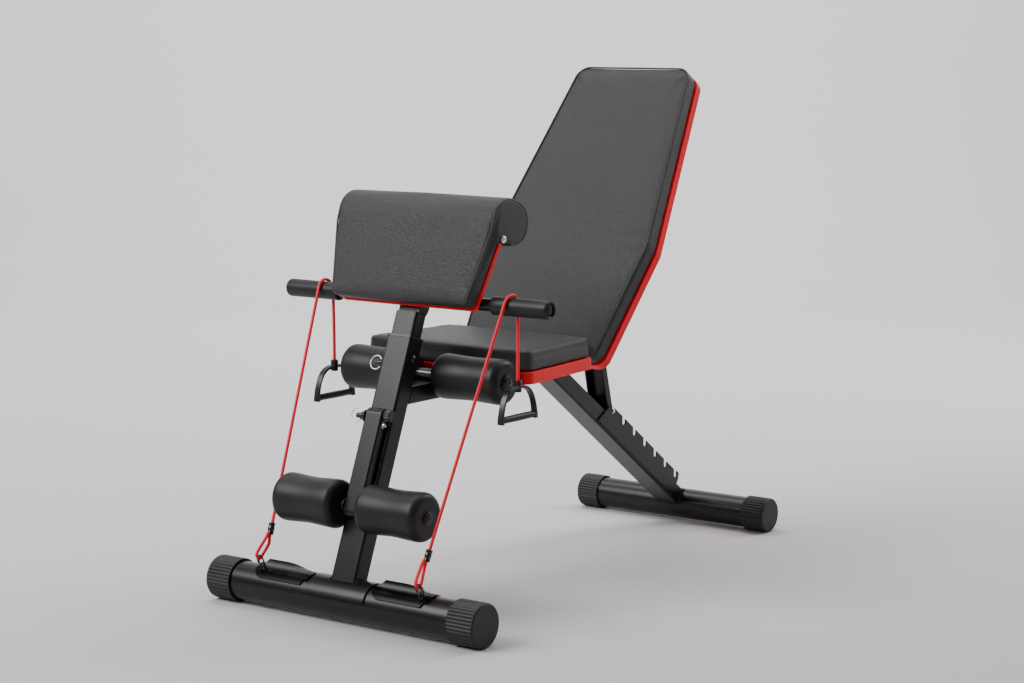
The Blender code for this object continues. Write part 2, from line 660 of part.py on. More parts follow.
def leg_foot(h):
    r = REAR_R + GAP
    return foot_a - math.sqrt(max(r * r - (h - foot_h) ** 2, 0.0))


leg_cuts = [0.006 + 0.00525 * i for i in range(5)]
rear_leg = bar_tube("rear_leg", LEG_HALF_W, 0.0, LEG_DEPTH, 0.0025, lambda h: LEG_START, leg_foot,
                    POWDER, cuts=leg_cuts, along="Y", parent=leg)
cut(rear_leg, rod("cut_leg_hinge", -0.05, 0.05, 0.0063, None, segments=20, parent=leg,
                  loc=(0, hinge_a, hinge_h)))

up = (leg_n, leg_c)
across = (leg_c, -leg_n)
comb_outline = [(NOTCH_FIRST - 0.036, 0.004), (NOTCH_FIRST - 0.036, COMB_TOP - 0.010),
                (NOTCH_FIRST - 0.028, COMB_TOP)]
for k in range(NOTCHES):
    cy, cz = NOTCH_FIRST + NOTCH_PITCH * k, NOTCH_Z
    left = (cy - NOTCH_R * across[0], cz - NOTCH_R * across[1])
    right = (cy + NOTCH_R * across[0], cz + NOTCH_R * across[1])
    rise = (COMB_TOP - left[1]) / up[1]
    comb_outline.append((left[0] + up[0] * rise, COMB_TOP))
    first = math.degrees(math.atan2(-across[1], -across[0]))
    comb_outline += arc(cy, cz, NOTCH_R, first, first + 180, 6)
    rise = (COMB_TOP + (0.002 if k == NOTCHES - 1 else 0.0) - right[1]) / up[1]
    comb_outline.append((right[0] + up[0] * rise, right[1] + up[1] * rise))
comb_end = NOTCH_FIRST + NOTCH_PITCH * (NOTCHES - 1) + 0.0145
comb_outline += [(comb_end - 0.005, COMB_TOP + 0.001), (comb_end, COMB_TOP - 0.010), (comb_end, 0.004)]
for tag, side in (("R", 1), ("L", -1)):
    prism("comb_" + tag, comb_outline, COMB_X[0] * side, COMB_X[1] * side, POWDER, parent=leg)

pipe("rear_foot_tube", -REAR_HALF + 0.0065, REAR_HALF - 0.0065, REAR_R, REAR_R - 0.002, POWDER,
     segments=28, loc=(0, REAR_Y, REAR_CAP_R))
for tag, side in (("R", 1), ("L", -1)):
    ribbed_cap("rear_cap_" + tag, REAR_HALF - REAR_CAP_LEN, REAR_HALF, REAR_CAP_R, REAR_R + GAP, side,
               REAR_Y, REAR_CAP_R)

# ---------------------------------------------------------------- strut
notch_y, notch_z = from_leg(NOTCH_FIRST, NOTCH_Z)
strut_way = Vector((notch_y - STRUT_PIVOT[0], notch_z - STRUT_PIVOT[1]))
STRUT_LEN = strut_way.length
strut_tilt = math.atan2(strut_way.x, -strut_way.y)
strut_frame = empty("strut_frame", (0.0, *STRUT_PIVOT), strut_tilt)
strut_outline = arc(0.0, 0.0, 0.0090, 0, 180, 8) + arc(0.0, -STRUT_LEN, 0.0074, 180, 360, 8)


def strut_shape(co):
    k = min(max(-co.z / STRUT_LEN, 0.0), 1.0)
    return Vector((co.x * (0.0170 + 0.0050 * k) / 0.0170, co.y, co.z))


strut = prism("strut", strut_outline, -0.0170, 0.0170, POWDER, shape=strut_shape, parent=strut_frame)


def slot_shape(co):
    k = min(max(-co.z / STRUT_LEN, 0.0), 1.0)
    return Vector((co.x * (0.3 + 1.0 * k), co.y, co.z))


slot = prism("cut_strut_slot", [(-0.03, -0.045), (0.0040, -0.045), (0.0040, -STRUT_LEN + 0.022),
                                (-0.03, -STRUT_LEN + 0.022)], -0.0130, 0.0130, None, shape=slot_shape,
             parent=strut_frame)
cut(strut, slot)
cut(strut, rod("cut_strut_pivot", -0.05, 0.05, STRUT_PIN_R + GAP, None, segments=20,
               parent=strut_frame))
cut(strut, rod("cut_strut_foot", -0.05, 0.05, 0.0038 + GAP, None, segments=20,
               parent=strut_frame, loc=(0, 0, -STRUT_LEN)))
rod("strut_foot_pin", -0.0243, 0.0243, 0.0038, STEEL, segments=20, parent=strut_frame,
    loc=(0, 0, -STRUT_LEN))
turned("strut_pivot_pin", [(-0.0338, 0.0), (-0.0338, 0.0070), (-0.0308, 0.0078), (-0.0308, STRUT_PIN_R),
                           (0.0308, STRUT_PIN_R), (0.0308, 0.0078), (0.0338, 0.0070), (0.0338, 0.0)],
       STEEL, segments=20, loc=(0, *STRUT_PIVOT))

# ---------------------------------------------------------------- elastic bands and D handles
grip_at = post_point(0.0, BAR[0], BAR[1])
wrap_r = GRIP_R + BAND_R + 0.0007
CRIMP = Vector((0.168, 0.0020, 0.1340))
HOOK_LOW = Vector((0.170, -0.0194, 0.0751))
HOOK_TOP = Vector((0.170, -0.0260, 0.0930))
COLLAR = Vector((0.198, 0.2027, 0.3840))


def smooth_route(points, spacing):
    """Points every 'spacing' along a Catmull-Rom curve through the given ones."""
    ends = [points[0] * 2 - points[1]] + points + [points[-1] * 2 - points[-2]]
    fine = []
    for a, b, c, d in zip(ends, ends[1:], ends[2:], ends[3:]):
        for i in range(24):
            t = i / 24
            fine.append(0.5 * ((2 * b) + (c - a) * t + (2 * a - 5 * b + 4 * c - d) * t * t
                               + (3 * b - a - 3 * c + d) * t ** 3))
    fine.append(points[-1])
    total = sum((q - p).length for p, q in zip(fine, fine[1:]))
    count = max(2, round(total / spacing))
    out = [fine[0]]
    run = 0.0
    target = total / count
    for p, q in zip(fine, fine[1:]):
        step = (q - p).length
        while step > 0 and run + step >= target * len(out) - 1e-9 and len(out) < count:
            out.append(p.lerp(q, (target * len(out) - run) / step))
        run += step
    out.append(fine[-1])
    return out


front = Vector((grip_at[1] - CRIMP.y, grip_at[2] - CRIMP.z))
REACH = math.sqrt(front.length ** 2 - wrap_r ** 2)
TURN_AT = math.atan2(front.y, front.x) + math.asin(wrap_r / front.length)
RUN_WAY = Vector((0.031, REACH * math.cos(TURN_AT), REACH * math.sin(TURN_AT)))
RUN_DIR = RUN_WAY.normalized()


def band_route(side):
    """Tail, loop round the hook, straight run up, over the grip and down to the collar."""
    aside = Vector((0.0, -RUN_DIR.z, RUN_DIR.y)) * 0.0064
    loop_mid = HOOK_TOP + Vector((0, 0.0012, -0.0050))
    tail = [CRIMP - RUN_DIR * 0.0098 + aside, CRIMP - RUN_DIR * 0.0170 + aside * 1.35,
            loop_mid + Vector((0, -0.0066, 0.0105)), loop_mid + Vector((0, -0.0048, 0.0022)),
            loop_mid + Vector((0, 0.0008, -0.0004)), loop_mid + Vector((0, 0.0066, 0.0050)),
            CRIMP - RUN_DIR * 0.0270 + Vector((0, 0.0014, 0)), CRIMP - RUN_DIR * 0.0160,
            CRIMP - RUN_DIR * 0.0090, CRIMP]
    run = [CRIMP + RUN_WAY * k for k in (0.03, 0.2, 0.4, 0.6, 0.8, 0.97)]
    first = TURN_AT + math.pi / 2
    over = []
    for i in range(9):
        turn = first * (1 - i / 8)
        over.append(Vector((0.199 + 0.0020 * math.sin(math.pi * i / 8), grip_at[1] + wrap_r * math.cos(turn),
                            grip_at[2] + wrap_r * math.sin(turn))))
    down = [Vector((0.1985, grip_at[1] + wrap_r + 0.0004, grip_at[2] - 0.03)),
            Vector((0.198, COLLAR.y, 0.430)), COLLAR + Vector((0, 0, 0.014)), COLLAR + Vector((0, 0, -0.001))]
    loop = smooth_route(tail, 0.0062)
    rest = smooth_route([CRIMP] + run + [over[0]], 0.034)
    top = smooth_route(over, 0.0066)
    hang = smooth_route([over[-1]] + down, 0.018)
    whole = loop + rest[1:] + top[1:] + hang[1:]
    return [(p.x * side, p.y, p.z) for p in whole]


for tag, side in (("R", 1), ("L", -1)):
    cord("band_" + tag, band_route(side), BAND_R, ELASTIC, resolution=1)
    # crimp sleeve, threaded by the band
    lean = Vector((RUN_DIR.x * side, RUN_DIR.y, RUN_DIR.z)).to_track_quat("Z", "Y").to_euler()
    pipe("crimp_" + tag, -0.0078, 0.0078, 0.0052, BAND_R + 0.0005, STEEL, segments=16, axis="Z",
         loc=(CRIMP.x * side, CRIMP.y, CRIMP.z), rot=lean)
    # snap hook: a slim link through the eye and the band's loop
    low, high = HOOK_LOW, HOOK_TOP
    axis_y = (high - low).normalized()
    mid = (low + high) / 2
    half = (high - low).length / 2
    link = []
    for i in range(16):
        a = math.tau * i / 16
        sideways = 0.0066 * math.sin(a) * (1.0 - 0.15 * math.cos(a))
        link.append(((mid.x + sideways) * side, mid.y + axis_y.y * half * math.cos(a),
                     mid.z + axis_y.z * half * math.cos(a)))
    cord("hook_" + tag, link, 0.0014, PLASTIC, cyclic=True, resolution=1)
    # collar at the band's lower end
    turned("collar_" + tag, [(-0.0090, 0.0), (-0.0090, 0.0050), (-0.0070, 0.0062), (0.0100, 0.0050),
                             (0.0100, BAND_R + 0.0005), (-0.0020, BAND_R + 0.0005), (-0.0020, 0.0)],
           PLASTIC, segments=20, axis="Z", loc=(COLLAR.x * side, COLLAR.y, COLLAR.z))
    # D-shaped handle frame and the grip turning on its bar
    top_z = COLLAR.z - 0.0090 - 0.0040 - GAP
    bar_z = 0.3330
    frame_line = rounded([(0.0, top_z, 0.010), (-0.0545, bar_z, 0.006), (0.0545, bar_z, 0.006)], 3)
    bail = [(COLLAR.x * side, COLLAR.y + y, z) for y, z in frame_line]
    cord("handle_bail_" + tag, bail, 0.0036, PLASTIC, cyclic=True, resolution=1)
    pipe("handle_grip_" + tag, -0.0300, 0.0300, 0.0085, 0.0036 + 0.0005, FOAM, segments=20, axis="Y",
         loc=(COLLAR.x * side, COLLAR.y, bar_z))

# ---------------------------------------------------------------- whole bench
bench = empty("bench", (0.0, 0.0, 0.0))
for piece in list(bpy.data.objects):
    if piece is not bench and piece.parent is None:
        piece.parent = bench
bench.location = (0.0, -FRONT_TO_MIDDLE, 0.0)
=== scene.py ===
from math import asin, atan2, cos, degrees, hypot, pi, radians, sin, sqrt, tan, tanh, tau
import bmesh
import bpy
from mathutils import Matrix, Vector
from mathutils.bvhtree import BVHTree


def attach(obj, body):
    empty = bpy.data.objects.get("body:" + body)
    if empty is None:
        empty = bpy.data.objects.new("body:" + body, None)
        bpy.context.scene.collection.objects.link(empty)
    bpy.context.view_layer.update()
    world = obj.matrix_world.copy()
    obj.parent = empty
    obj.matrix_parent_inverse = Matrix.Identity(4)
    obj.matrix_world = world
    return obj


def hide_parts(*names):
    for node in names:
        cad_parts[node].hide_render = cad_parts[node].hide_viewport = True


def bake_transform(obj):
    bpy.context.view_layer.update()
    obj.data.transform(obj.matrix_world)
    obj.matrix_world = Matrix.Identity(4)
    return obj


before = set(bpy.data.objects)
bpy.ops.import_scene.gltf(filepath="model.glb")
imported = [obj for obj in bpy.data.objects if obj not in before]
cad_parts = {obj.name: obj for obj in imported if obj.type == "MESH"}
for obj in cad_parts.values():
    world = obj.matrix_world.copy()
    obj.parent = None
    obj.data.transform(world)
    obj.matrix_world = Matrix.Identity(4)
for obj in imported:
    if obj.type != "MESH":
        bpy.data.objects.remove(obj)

print("bench: frame loaded")
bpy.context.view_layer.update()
scene = bpy.context.scene
toMiddle = 0.498  # the layout starts at the front foot's axis, the origin is at the bench's middle


# placing
def place(y, z, turn=0.0, x=0.0):
    return Matrix.Translation((x, y - toMiddle, z)) @ Matrix.Rotation(radians(turn), 4, "X")


postPlace = place(-0.0018, 0.1, -21.39)
padPlace = place(0.1317, 0.522, -19.31)
backPlace = place(0.4992, 0.4063, -34.82)
legPlace = place(0.45, 0.407, -35.48)
strutPlace = place(0.667, 0.535, 13.82)
flat = place(0.0, 0.0)
bothSides = (("R", 1), ("L", -1))


# camera
cameraFacts = {"spot": (2.427, -2.828 - toMiddle, 0.978), "pitch": 7.86, "turn": 36.48, "lens": 81.67}
cameraData = bpy.data.cameras.new("viewCamera")
cameraData.lens = cameraFacts["lens"]
cameraData.sensor_width = 36.0
cameraData.clip_end = 60.0
camera = bpy.data.objects.new("viewCamera", cameraData)
camera.location = cameraFacts["spot"]
camera.rotation_euler = (radians(90 - cameraFacts["pitch"]), 0.0, radians(cameraFacts["turn"]))
scene.collection.objects.link(camera)
scene.camera = camera


# shared shader groups
def newGroup(name, inputs, outputs):
    group = bpy.data.node_groups.new(name, "ShaderNodeTree")
    for label, value in inputs:
        sock = group.interface.new_socket(name=label, in_out="INPUT", socket_type="NodeSocketFloat")
        sock.default_value = value
    for label in outputs:
        group.interface.new_socket(name=label, in_out="OUTPUT", socket_type="NodeSocketFloat")
    tree = group.nodes
    return group, tree.new("NodeGroupInput"), tree.new("NodeGroupOutput")


def mathNode(tree, kind, a, b=None, clamp=False):
    node = tree.nodes.new("ShaderNodeMath")
    node.operation = kind
    node.use_clamp = clamp
    for i, value in enumerate((a, b)):
        if value is None:
            continue
        if isinstance(value, (int, float)):
            node.inputs[i].default_value = value
        else:
            tree.links.new(value, node.inputs[i])
    return node.outputs[0]


def noiseNode(tree, coords, scale, detail=3.0, rough=0.5):
    node = tree.nodes.new("ShaderNodeTexNoise")
    tree.links.new(coords, node.inputs["Vector"])
    if isinstance(scale, (int, float)):
        node.inputs["Scale"].default_value = scale
    else:
        tree.links.new(scale, node.inputs["Scale"])
    node.inputs["Detail"].default_value = detail
    node.inputs["Roughness"].default_value = rough
    return node.outputs["Fac"]


def rampNode(tree, value, low, high, out0=0.0, out1=1.0):
    node = tree.nodes.new("ShaderNodeMapRange")
    node.inputs["From Min"].default_value = low
    node.inputs["From Max"].default_value = high
    node.inputs["To Min"].default_value = out0
    node.inputs["To Max"].default_value = out1
    tree.links.new(value, node.inputs["Value"])
    return node.outputs["Result"]


def buildPebble():
    # leather grain: rounded pebbles with creases between them, broken up by a softer swell
    group, inp, out = newGroup("pebbleGrain", [("Scale", 900.0), ("Crease", 0.5)], ["Height", "Creases"])
    coords = group.nodes.new("ShaderNodeTexCoord").outputs["Object"]
    cells = group.nodes.new("ShaderNodeTexVoronoi")
    cells.feature = "DISTANCE_TO_EDGE"
    group.links.new(coords, cells.inputs["Vector"])
    group.links.new(inp.outputs["Scale"], cells.inputs["Scale"])
    edge = rampNode(group, cells.outputs["Distance"], 0.0, 0.22)
    soft = noiseNode(group, coords, mathNode(group, "MULTIPLY", inp.outputs["Scale"], 0.45), 2.0)
    height = mathNode(group, "ADD", mathNode(group, "MULTIPLY", edge, inp.outputs["Crease"]),
                      mathNode(group, "MULTIPLY", soft, 0.55))
    group.links.new(height, out.inputs["Height"])
    group.links.new(mathNode(group, "SUBTRACT", 1.0, edge), out.inputs["Creases"])
    return group


def buildTone():
    # slow mottling and fine speckle
    group, inp, out = newGroup("toneAndSpeck", [("Scale", 14.0), ("Speckle", 700.0)], ["Tone", "Speck"])
    spot = group.nodes.new("ShaderNodeTexCoord").outputs["Object"]
    group.links.new(noiseNode(group, spot, inp.outputs["Scale"], 4.0, 0.55), out.inputs["Tone"])
    group.links.new(noiseNode(group, spot, inp.outputs["Speckle"], 2.0, 0.6), out.inputs["Speck"])
    return group


def buildWear():
    # a rubbed line along raised edges, broken up by noise
    group, inp, out = newGroup("rubbedEdge", [("Scale", 60.0), ("Reach", 0.5)], ["Mask"])
    coords = group.nodes.new("ShaderNodeTexCoord").outputs["Object"]
    geometry = group.nodes.new("ShaderNodeNewGeometry")
    edge = rampNode(group, geometry.outputs["Pointiness"], 0.53, 0.62)
    broken = rampNode(group, noiseNode(group, coords, inp.outputs["Scale"], 5.0, 0.65), 0.48, 0.7)
    mask = mathNode(group, "MULTIPLY", mathNode(group, "MULTIPLY", edge, broken), inp.outputs["Reach"], clamp=True)
    group.links.new(mask, out.inputs["Mask"])
    return group


pebbleGroup = buildPebble()
toneGroup = buildTone()
wearGroup = buildWear()


def groupNode(tree, group, **values):
    node = tree.nodes.new("ShaderNodeGroup")
    node.node_tree = group
    for key, value in values.items():
        node.inputs[key].default_value = value
    return node


def mixColour(tree, fac, a, b):
    node = tree.nodes.new("ShaderNodeMix")
    node.data_type = "RGBA"
    node.clamp_factor = True
    if isinstance(fac, (int, float)):
        node.inputs[0].default_value = fac
    else:
        tree.links.new(fac, node.inputs[0])
    for sock, value in ((node.inputs[6], a), (node.inputs[7], b)):
        if isinstance(value, tuple):
            sock.default_value = (*value, 1.0)
        else:
            tree.links.new(value, sock)
    return node.outputs[2]


def finishMaterial(name, facts):
    # one builder for every finish: tone in the colour, roughness that wanders, and a fine bump, from the speckle
    # unless grain or streaks replace it
    made = bpy.data.materials.new(name)
    made.use_nodes = True
    tree = made.node_tree
    shader = tree.nodes["Principled BSDF"]
    tone = groupNode(tree, toneGroup, Scale=facts.get("toneScale", 14.0), Speckle=facts.get("speckle", 700.0))
    colour = mixColour(tree, rampNode(tree, tone.outputs["Tone"], 0.3, 0.7), facts["dark"], facts["light"])
    if facts.get("wear"):
        wear = groupNode(tree, wearGroup, Scale=70.0, Reach=facts["wear"])
        colour = mixColour(tree, wear.outputs["Mask"], colour, facts.get("under", (0.3, 0.3, 0.31)))
    swing = facts.get("roughSwing", 0.05)
    rough = rampNode(tree, tone.outputs["Tone"], 0.3, 0.7, facts["rough"] - swing, facts["rough"] + swing)
    height = tone.outputs["Speck"]
    if facts.get("pebble"):
        grain = groupNode(tree, pebbleGroup, Scale=facts["pebble"], Crease=0.9)
        height = grain.outputs["Height"]
        # painted shade: the colour darkens in the grain's creases between the pebbles, the recesses where shade falls
        colour = mixColour(tree, mathNode(tree, "MULTIPLY", grain.outputs["Creases"], 0.55), colour, facts["creaseShade"])
        rough = mathNode(tree, "ADD", rough, mathNode(tree, "MULTIPLY", grain.outputs["Creases"], 0.12))
    if facts.get("streak"):
        stretch = tree.nodes.new("ShaderNodeMapping")
        stretch.inputs["Scale"].default_value = facts["streak"]
        coords = tree.nodes.new("ShaderNodeTexCoord")
        tree.links.new(coords.outputs["Object"], stretch.inputs["Vector"])
        lines = noiseNode(tree, stretch.outputs["Vector"], 40.0, 3.0)
        rough = mathNode(tree, "ADD", rough, rampNode(tree, lines, 0.3, 0.7, -0.08, 0.1))
        height = lines
    tree.links.new(colour, shader.inputs["Base Color"])
    tree.links.new(rough, shader.inputs["Roughness"])
    shader.inputs["Metallic"].default_value = facts.get("metal", 0.0)
    shader.inputs["Specular IOR Level"].default_value = facts.get("specular", 0.5)
    bump = tree.nodes.new("ShaderNodeBump")
    bump.inputs["Strength"].default_value = facts.get("bump", 0.15)
    bump.inputs["Distance"].default_value = facts.get("bumpDepth", 0.0003)
    tree.links.new(height, bump.inputs["Height"])
    tree.links.new(bump.outputs["Normal"], shader.inputs["Normal"])
    return made


powder = finishMaterial("satinPowderCoat", {
    "dark": (0.0042, 0.0042, 0.0043), "light": (0.005, 0.005, 0.0051), "rough": 0.32, "roughSwing": 0.01,
    "speckle": 900.0, "bump": 0.1, "bumpDepth": 0.0002, "specular": 0.34, "wear": 0.1, "under": (0.05, 0.05, 0.05)})
# its crease colour is painted shade for the grain's creases
leather = finishMaterial("blackLeatherette", {
    "dark": (0.024, 0.024, 0.0245), "light": (0.028, 0.028, 0.0285), "creaseShade": (0.009, 0.009, 0.0095),
    "rough": 0.42, "roughSwing": 0.02, "pebble": 520.0, "bump": 0.5, "bumpDepth": 0.0008, "toneScale": 9.0,
    "specular": 0.5})
# its crease colour is painted shade for the grain's creases
pipingMat = finishMaterial("pipingVinyl", {
    "dark": (0.024, 0.024, 0.0245), "light": (0.034, 0.034, 0.0345), "creaseShade": (0.014, 0.014, 0.015),
    "rough": 0.38, "pebble": 900.0, "bump": 0.15, "bumpDepth": 0.0003})
foam = finishMaterial("skinnedFoam", {
    "dark": (0.012, 0.012, 0.0122), "light": (0.0155, 0.0155, 0.0157), "rough": 0.44, "roughSwing": 0.03,
    "speckle": 520.0, "bump": 0.14, "bumpDepth": 0.0004, "toneScale": 20.0, "specular": 0.28})
capRubber = finishMaterial("capRubber", {
    "dark": (0.017, 0.017, 0.0172), "light": (0.022, 0.022, 0.0222), "rough": 0.46, "speckle": 800.0,
    "roughSwing": 0.02, "bump": 0.12, "specular": 0.3, "wear": 0.15, "under": (0.05, 0.05, 0.05)})
redBoard = finishMaterial("redBoard", {
    "dark": (0.94, 0.02, 0.03), "light": (0.98, 0.026, 0.038), "rough": 0.42, "roughSwing": 0.02,
    "speckle": 500.0, "bump": 0.06, "bumpDepth": 0.0002, "specular": 0.14, "wear": 0.15, "under": (0.7, 0.05, 0.05)})
elastic = finishMaterial("redElastic", {
    "dark": (0.92, 0.024, 0.044), "light": (0.98, 0.032, 0.054), "rough": 0.42, "speckle": 1500.0,
    "bump": 0.3, "bumpDepth": 0.0003, "toneScale": 60.0, "specular": 0.2})
zinc = finishMaterial("zincPlate", {
    "dark": (0.44, 0.44, 0.45), "light": (0.6, 0.6, 0.61), "rough": 0.26, "metal": 1.0,
    "streak": (1.0, 12.0, 12.0), "bump": 0.06, "bumpDepth": 0.0001})
wire = finishMaterial("brightWire", {
    "dark": (0.82, 0.82, 0.83), "light": (0.94, 0.94, 0.95), "rough": 0.22, "metal": 0.4, "bump": 0.05})
plastic = finishMaterial("blackPlastic", {
    "dark": (0.006, 0.006, 0.0062), "light": (0.0085, 0.0085, 0.0087), "rough": 0.34, "speckle": 1200.0,
    "roughSwing": 0.02, "bump": 0.1, "bumpDepth": 0.0002, "wear": 0.1, "under": (0.04, 0.04, 0.04)})
gunmetal = finishMaterial("darkCrimp", {
    "dark": (0.05, 0.05, 0.052), "light": (0.1, 0.1, 0.1), "rough": 0.25, "metal": 1.0, "bump": 0.06})
glossBlack = finishMaterial("glossBlack", {
    "dark": (0.0016, 0.0016, 0.0016), "light": (0.0022, 0.0022, 0.0022), "rough": 0.24, "roughSwing": 0.02,
    "bump": 0.04, "specular": 0.1})
print("bench: finishes ready")


# making pieces
still = Matrix.Identity(4)


def vertsIn(geom):
    return [g for g in geom if isinstance(g, bmesh.types.BMVert)]


def moveAll(bm, matrix):
    bmesh.ops.transform(bm, verts=bm.verts, matrix=matrix)


def easeEdges(bm, edges, width, segments):
    bmesh.ops.bevel(bm, geom=edges, offset=width, segments=segments, profile=0.5, material=-1, affect="EDGES",
                    clamp_overlap=True)


def finalMesh(piece):
    bpy.context.view_layer.update()
    return bpy.data.meshes.new_from_object(piece.evaluated_get(bpy.context.evaluated_depsgraph_get()))


def sameEnds(half):
    # a profile from its outer end to the middle, and back out the other way
    return half + [(-a, r) for a, r in reversed(half)]


def addPiece(name, bm, mat, body, replaced=(), smooth=35, soft=False):
    bmesh.ops.remove_doubles(bm, verts=bm.verts, dist=1e-6)
    bmesh.ops.recalc_face_normals(bm, faces=bm.faces)
    mesh = bpy.data.meshes.new(name)
    bm.to_mesh(mesh)
    bm.free()
    mesh.shade_smooth()
    mesh.set_sharp_from_angle(angle=radians(smooth))
    mesh.materials.append(mat)
    piece = bpy.data.objects.new(name, mesh)
    scene.collection.objects.link(piece)
    if body:
        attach(piece, body)
    if replaced:
        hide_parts(*replaced)
    if soft:
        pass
    else:
        flatter = piece.modifiers.new("flatter", "WEIGHTED_NORMAL")
        flatter.keep_sharp = True
    return piece


def turned(points, closed=False, steps=48, axis="X", at=flat, bm=None):
    # points are (along, radius); an open profile starts and ends on the axis
    bm = bm or bmesh.new()
    fresh = [bm.verts.new((a, 0.0, r)) for a, r in points]
    edges = [bm.edges.new(pair) for pair in zip(fresh, fresh[1:])]
    if closed:
        edges.append(bm.edges.new((fresh[-1], fresh[0])))
    made = bmesh.ops.spin(bm, geom=fresh + edges, cent=(0, 0, 0), axis=(1, 0, 0), angle=tau,
                          steps=steps, use_merge=True)
    spun = list(bm.verts) if len(bm.verts) == len(fresh) else [v for v in bm.verts if not v.tag]
    turn = {"X": Matrix.Identity(4), "Z": Matrix.Rotation(radians(-90), 4, "Y"),
            "Y": Matrix.Rotation(radians(90), 4, "Z")}[axis]
    bmesh.ops.transform(bm, verts=spun, matrix=at @ turn)
    for v in spun:
        v.tag = True
    return bm


def arc(cx, cy, r, a0, a1, steps):
    turn = [radians(a0 + (a1 - a0) * i / steps) for i in range(steps + 1)]
    return [(cx + r * cos(a), cy + r * sin(a)) for a in turn]


def rounded(corners, steps=6):
    out = []
    for i, (x, y, r) in enumerate(corners):
        here = Vector((x, y))
        before = Vector(corners[i - 1][:2]) - here
        after = Vector(corners[(i + 1) % len(corners)][:2]) - here
        if r <= 0:
            out.append((x, y))
            continue
        half = before.angle(after) / 2
        start = here + before.normalized() * (r / tan(half))
        stop = here + after.normalized() * (r / tan(half))
        mid = here + (before.normalized() + after.normalized()).normalized() * (r / sin(half))
        for k in range(steps + 1):
            point = mid + (start.lerp(stop, k / steps) - mid).normalized() * r
            out.append((point.x, point.y))
    return out


def extruded(outline, x0, x1, at, bevel=0.0008, segments=2, bm=None, shape=None):
    # a (y, z) outline pushed along x, its end rims eased
    bm = bm or bmesh.new()
    old = set(bm.verts)
    face = bm.faces.new([bm.verts.new((x0, y, z)) for y, z in outline])
    grown = bmesh.ops.extrude_face_region(bm, geom=[face])
    bmesh.ops.translate(bm, verts=vertsIn(grown["geom"]), vec=(x1 - x0, 0, 0))
    fresh = [v for v in bm.verts if v not in old]
    if bevel:
        rims = [e for e in bm.edges if e.verts[0] not in old and abs(e.verts[0].co.x - e.verts[1].co.x) < 1e-7]
        easeEdges(bm, rims, bevel, segments)
        fresh = [v for v in bm.verts if v not in old]
    if shape:
        for v in fresh:
            v.co = shape(v.co)
    bmesh.ops.transform(bm, verts=fresh, matrix=at)
    return bm


def plate(outline, z0, z1, at, top=0.001, low=0.001, segments=3, turnUp=False):
    # an (x, along) outline pushed through its thickness; turnUp swaps thickness and length
    bm = bmesh.new()
    face = bm.faces.new([bm.verts.new((x, y, z0)) for x, y in outline])
    grown = bmesh.ops.extrude_face_region(bm, geom=[face])
    bmesh.ops.translate(bm, verts=vertsIn(grown["geom"]), vec=(0, 0, z1 - z0))
    for level, width in ((z1, top), (z0, low)):
        easeEdges(bm, [e for e in bm.edges if all(abs(v.co.z - level) < 1e-6 for v in e.verts)], width, segments)
    if turnUp:
        swap = Matrix(((1, 0, 0, 0), (0, 0, 1, 0), (0, 1, 0, 0), (0, 0, 0, 1)))
        moveAll(bm, swap)
    moveAll(bm, at)
    return bm


def squareTube(halfW, d0, d1, s0, s1, at, radius=0.004, wall=0.0022, planes=()):
    # rectangular tube along local z with open ends; planes trim it in local coordinates
    bm = bmesh.new()
    bmesh.ops.create_cube(bm, size=1.0)
    bmesh.ops.scale(bm, verts=bm.verts, vec=(2 * halfW, d1 - d0, s1 - s0))
    bmesh.ops.translate(bm, verts=bm.verts, vec=(0, (d0 + d1) / 2, (s0 + s1) / 2))
    ends = [f for f in bm.faces if abs(f.normal.z) > 0.9]
    bmesh.ops.delete(bm, geom=ends, context="FACES_ONLY")
    long = [e for e in bm.edges if abs(e.verts[0].co.z - e.verts[1].co.z) > 1e-6]
    bmesh.ops.bevel(bm, geom=long, offset=radius, segments=6, profile=0.5, material=-1, affect="EDGES")
    for co, no in planes:
        bmesh.ops.bisect_plane(bm, geom=bm.verts[:] + bm.edges[:] + bm.faces[:], plane_co=co, plane_no=no,
                               clear_outer=True)
    bmesh.ops.recalc_face_normals(bm, faces=bm.faces)
    middle = Vector((0, (d0 + d1) / 2, 0))
    first = bm.faces[:][0]
    outward = first.calc_center_median() - middle
    outward.z = 0.0
    if first.normal.dot(outward) < 0:
        bmesh.ops.reverse_faces(bm, faces=bm.faces)
    bmesh.ops.solidify(bm, geom=bm.faces[:], thickness=wall)
    moveAll(bm, at)
    return bm


def tubeAlong(name, route, radius, mat, body, closed=False, sides=4, smooth=50, lumpy=False):
    data = bpy.data.curves.new(name + "Line", "CURVE")
    data.dimensions = "3D"
    data.bevel_depth = radius
    data.bevel_resolution = sides
    data.use_fill_caps = not closed
    line = data.splines.new("POLY")
    line.points.add(len(route) - 1)
    for i, (point, co) in enumerate(zip(line.points, route)):
        point.co = (*co, 1.0)
        point.radius = 0.85 + 0.25 * sin(i * 2.4) if lumpy else 1.0
    line.use_cyclic_u = closed
    holder = bpy.data.objects.new(name + "Line", data)
    scene.collection.objects.link(holder)
    mesh = finalMesh(holder)
    bpy.data.objects.remove(holder)
    bm = bmesh.new()
    bm.from_mesh(mesh)
    return addPiece(name, bm, mat, body, smooth=smooth)


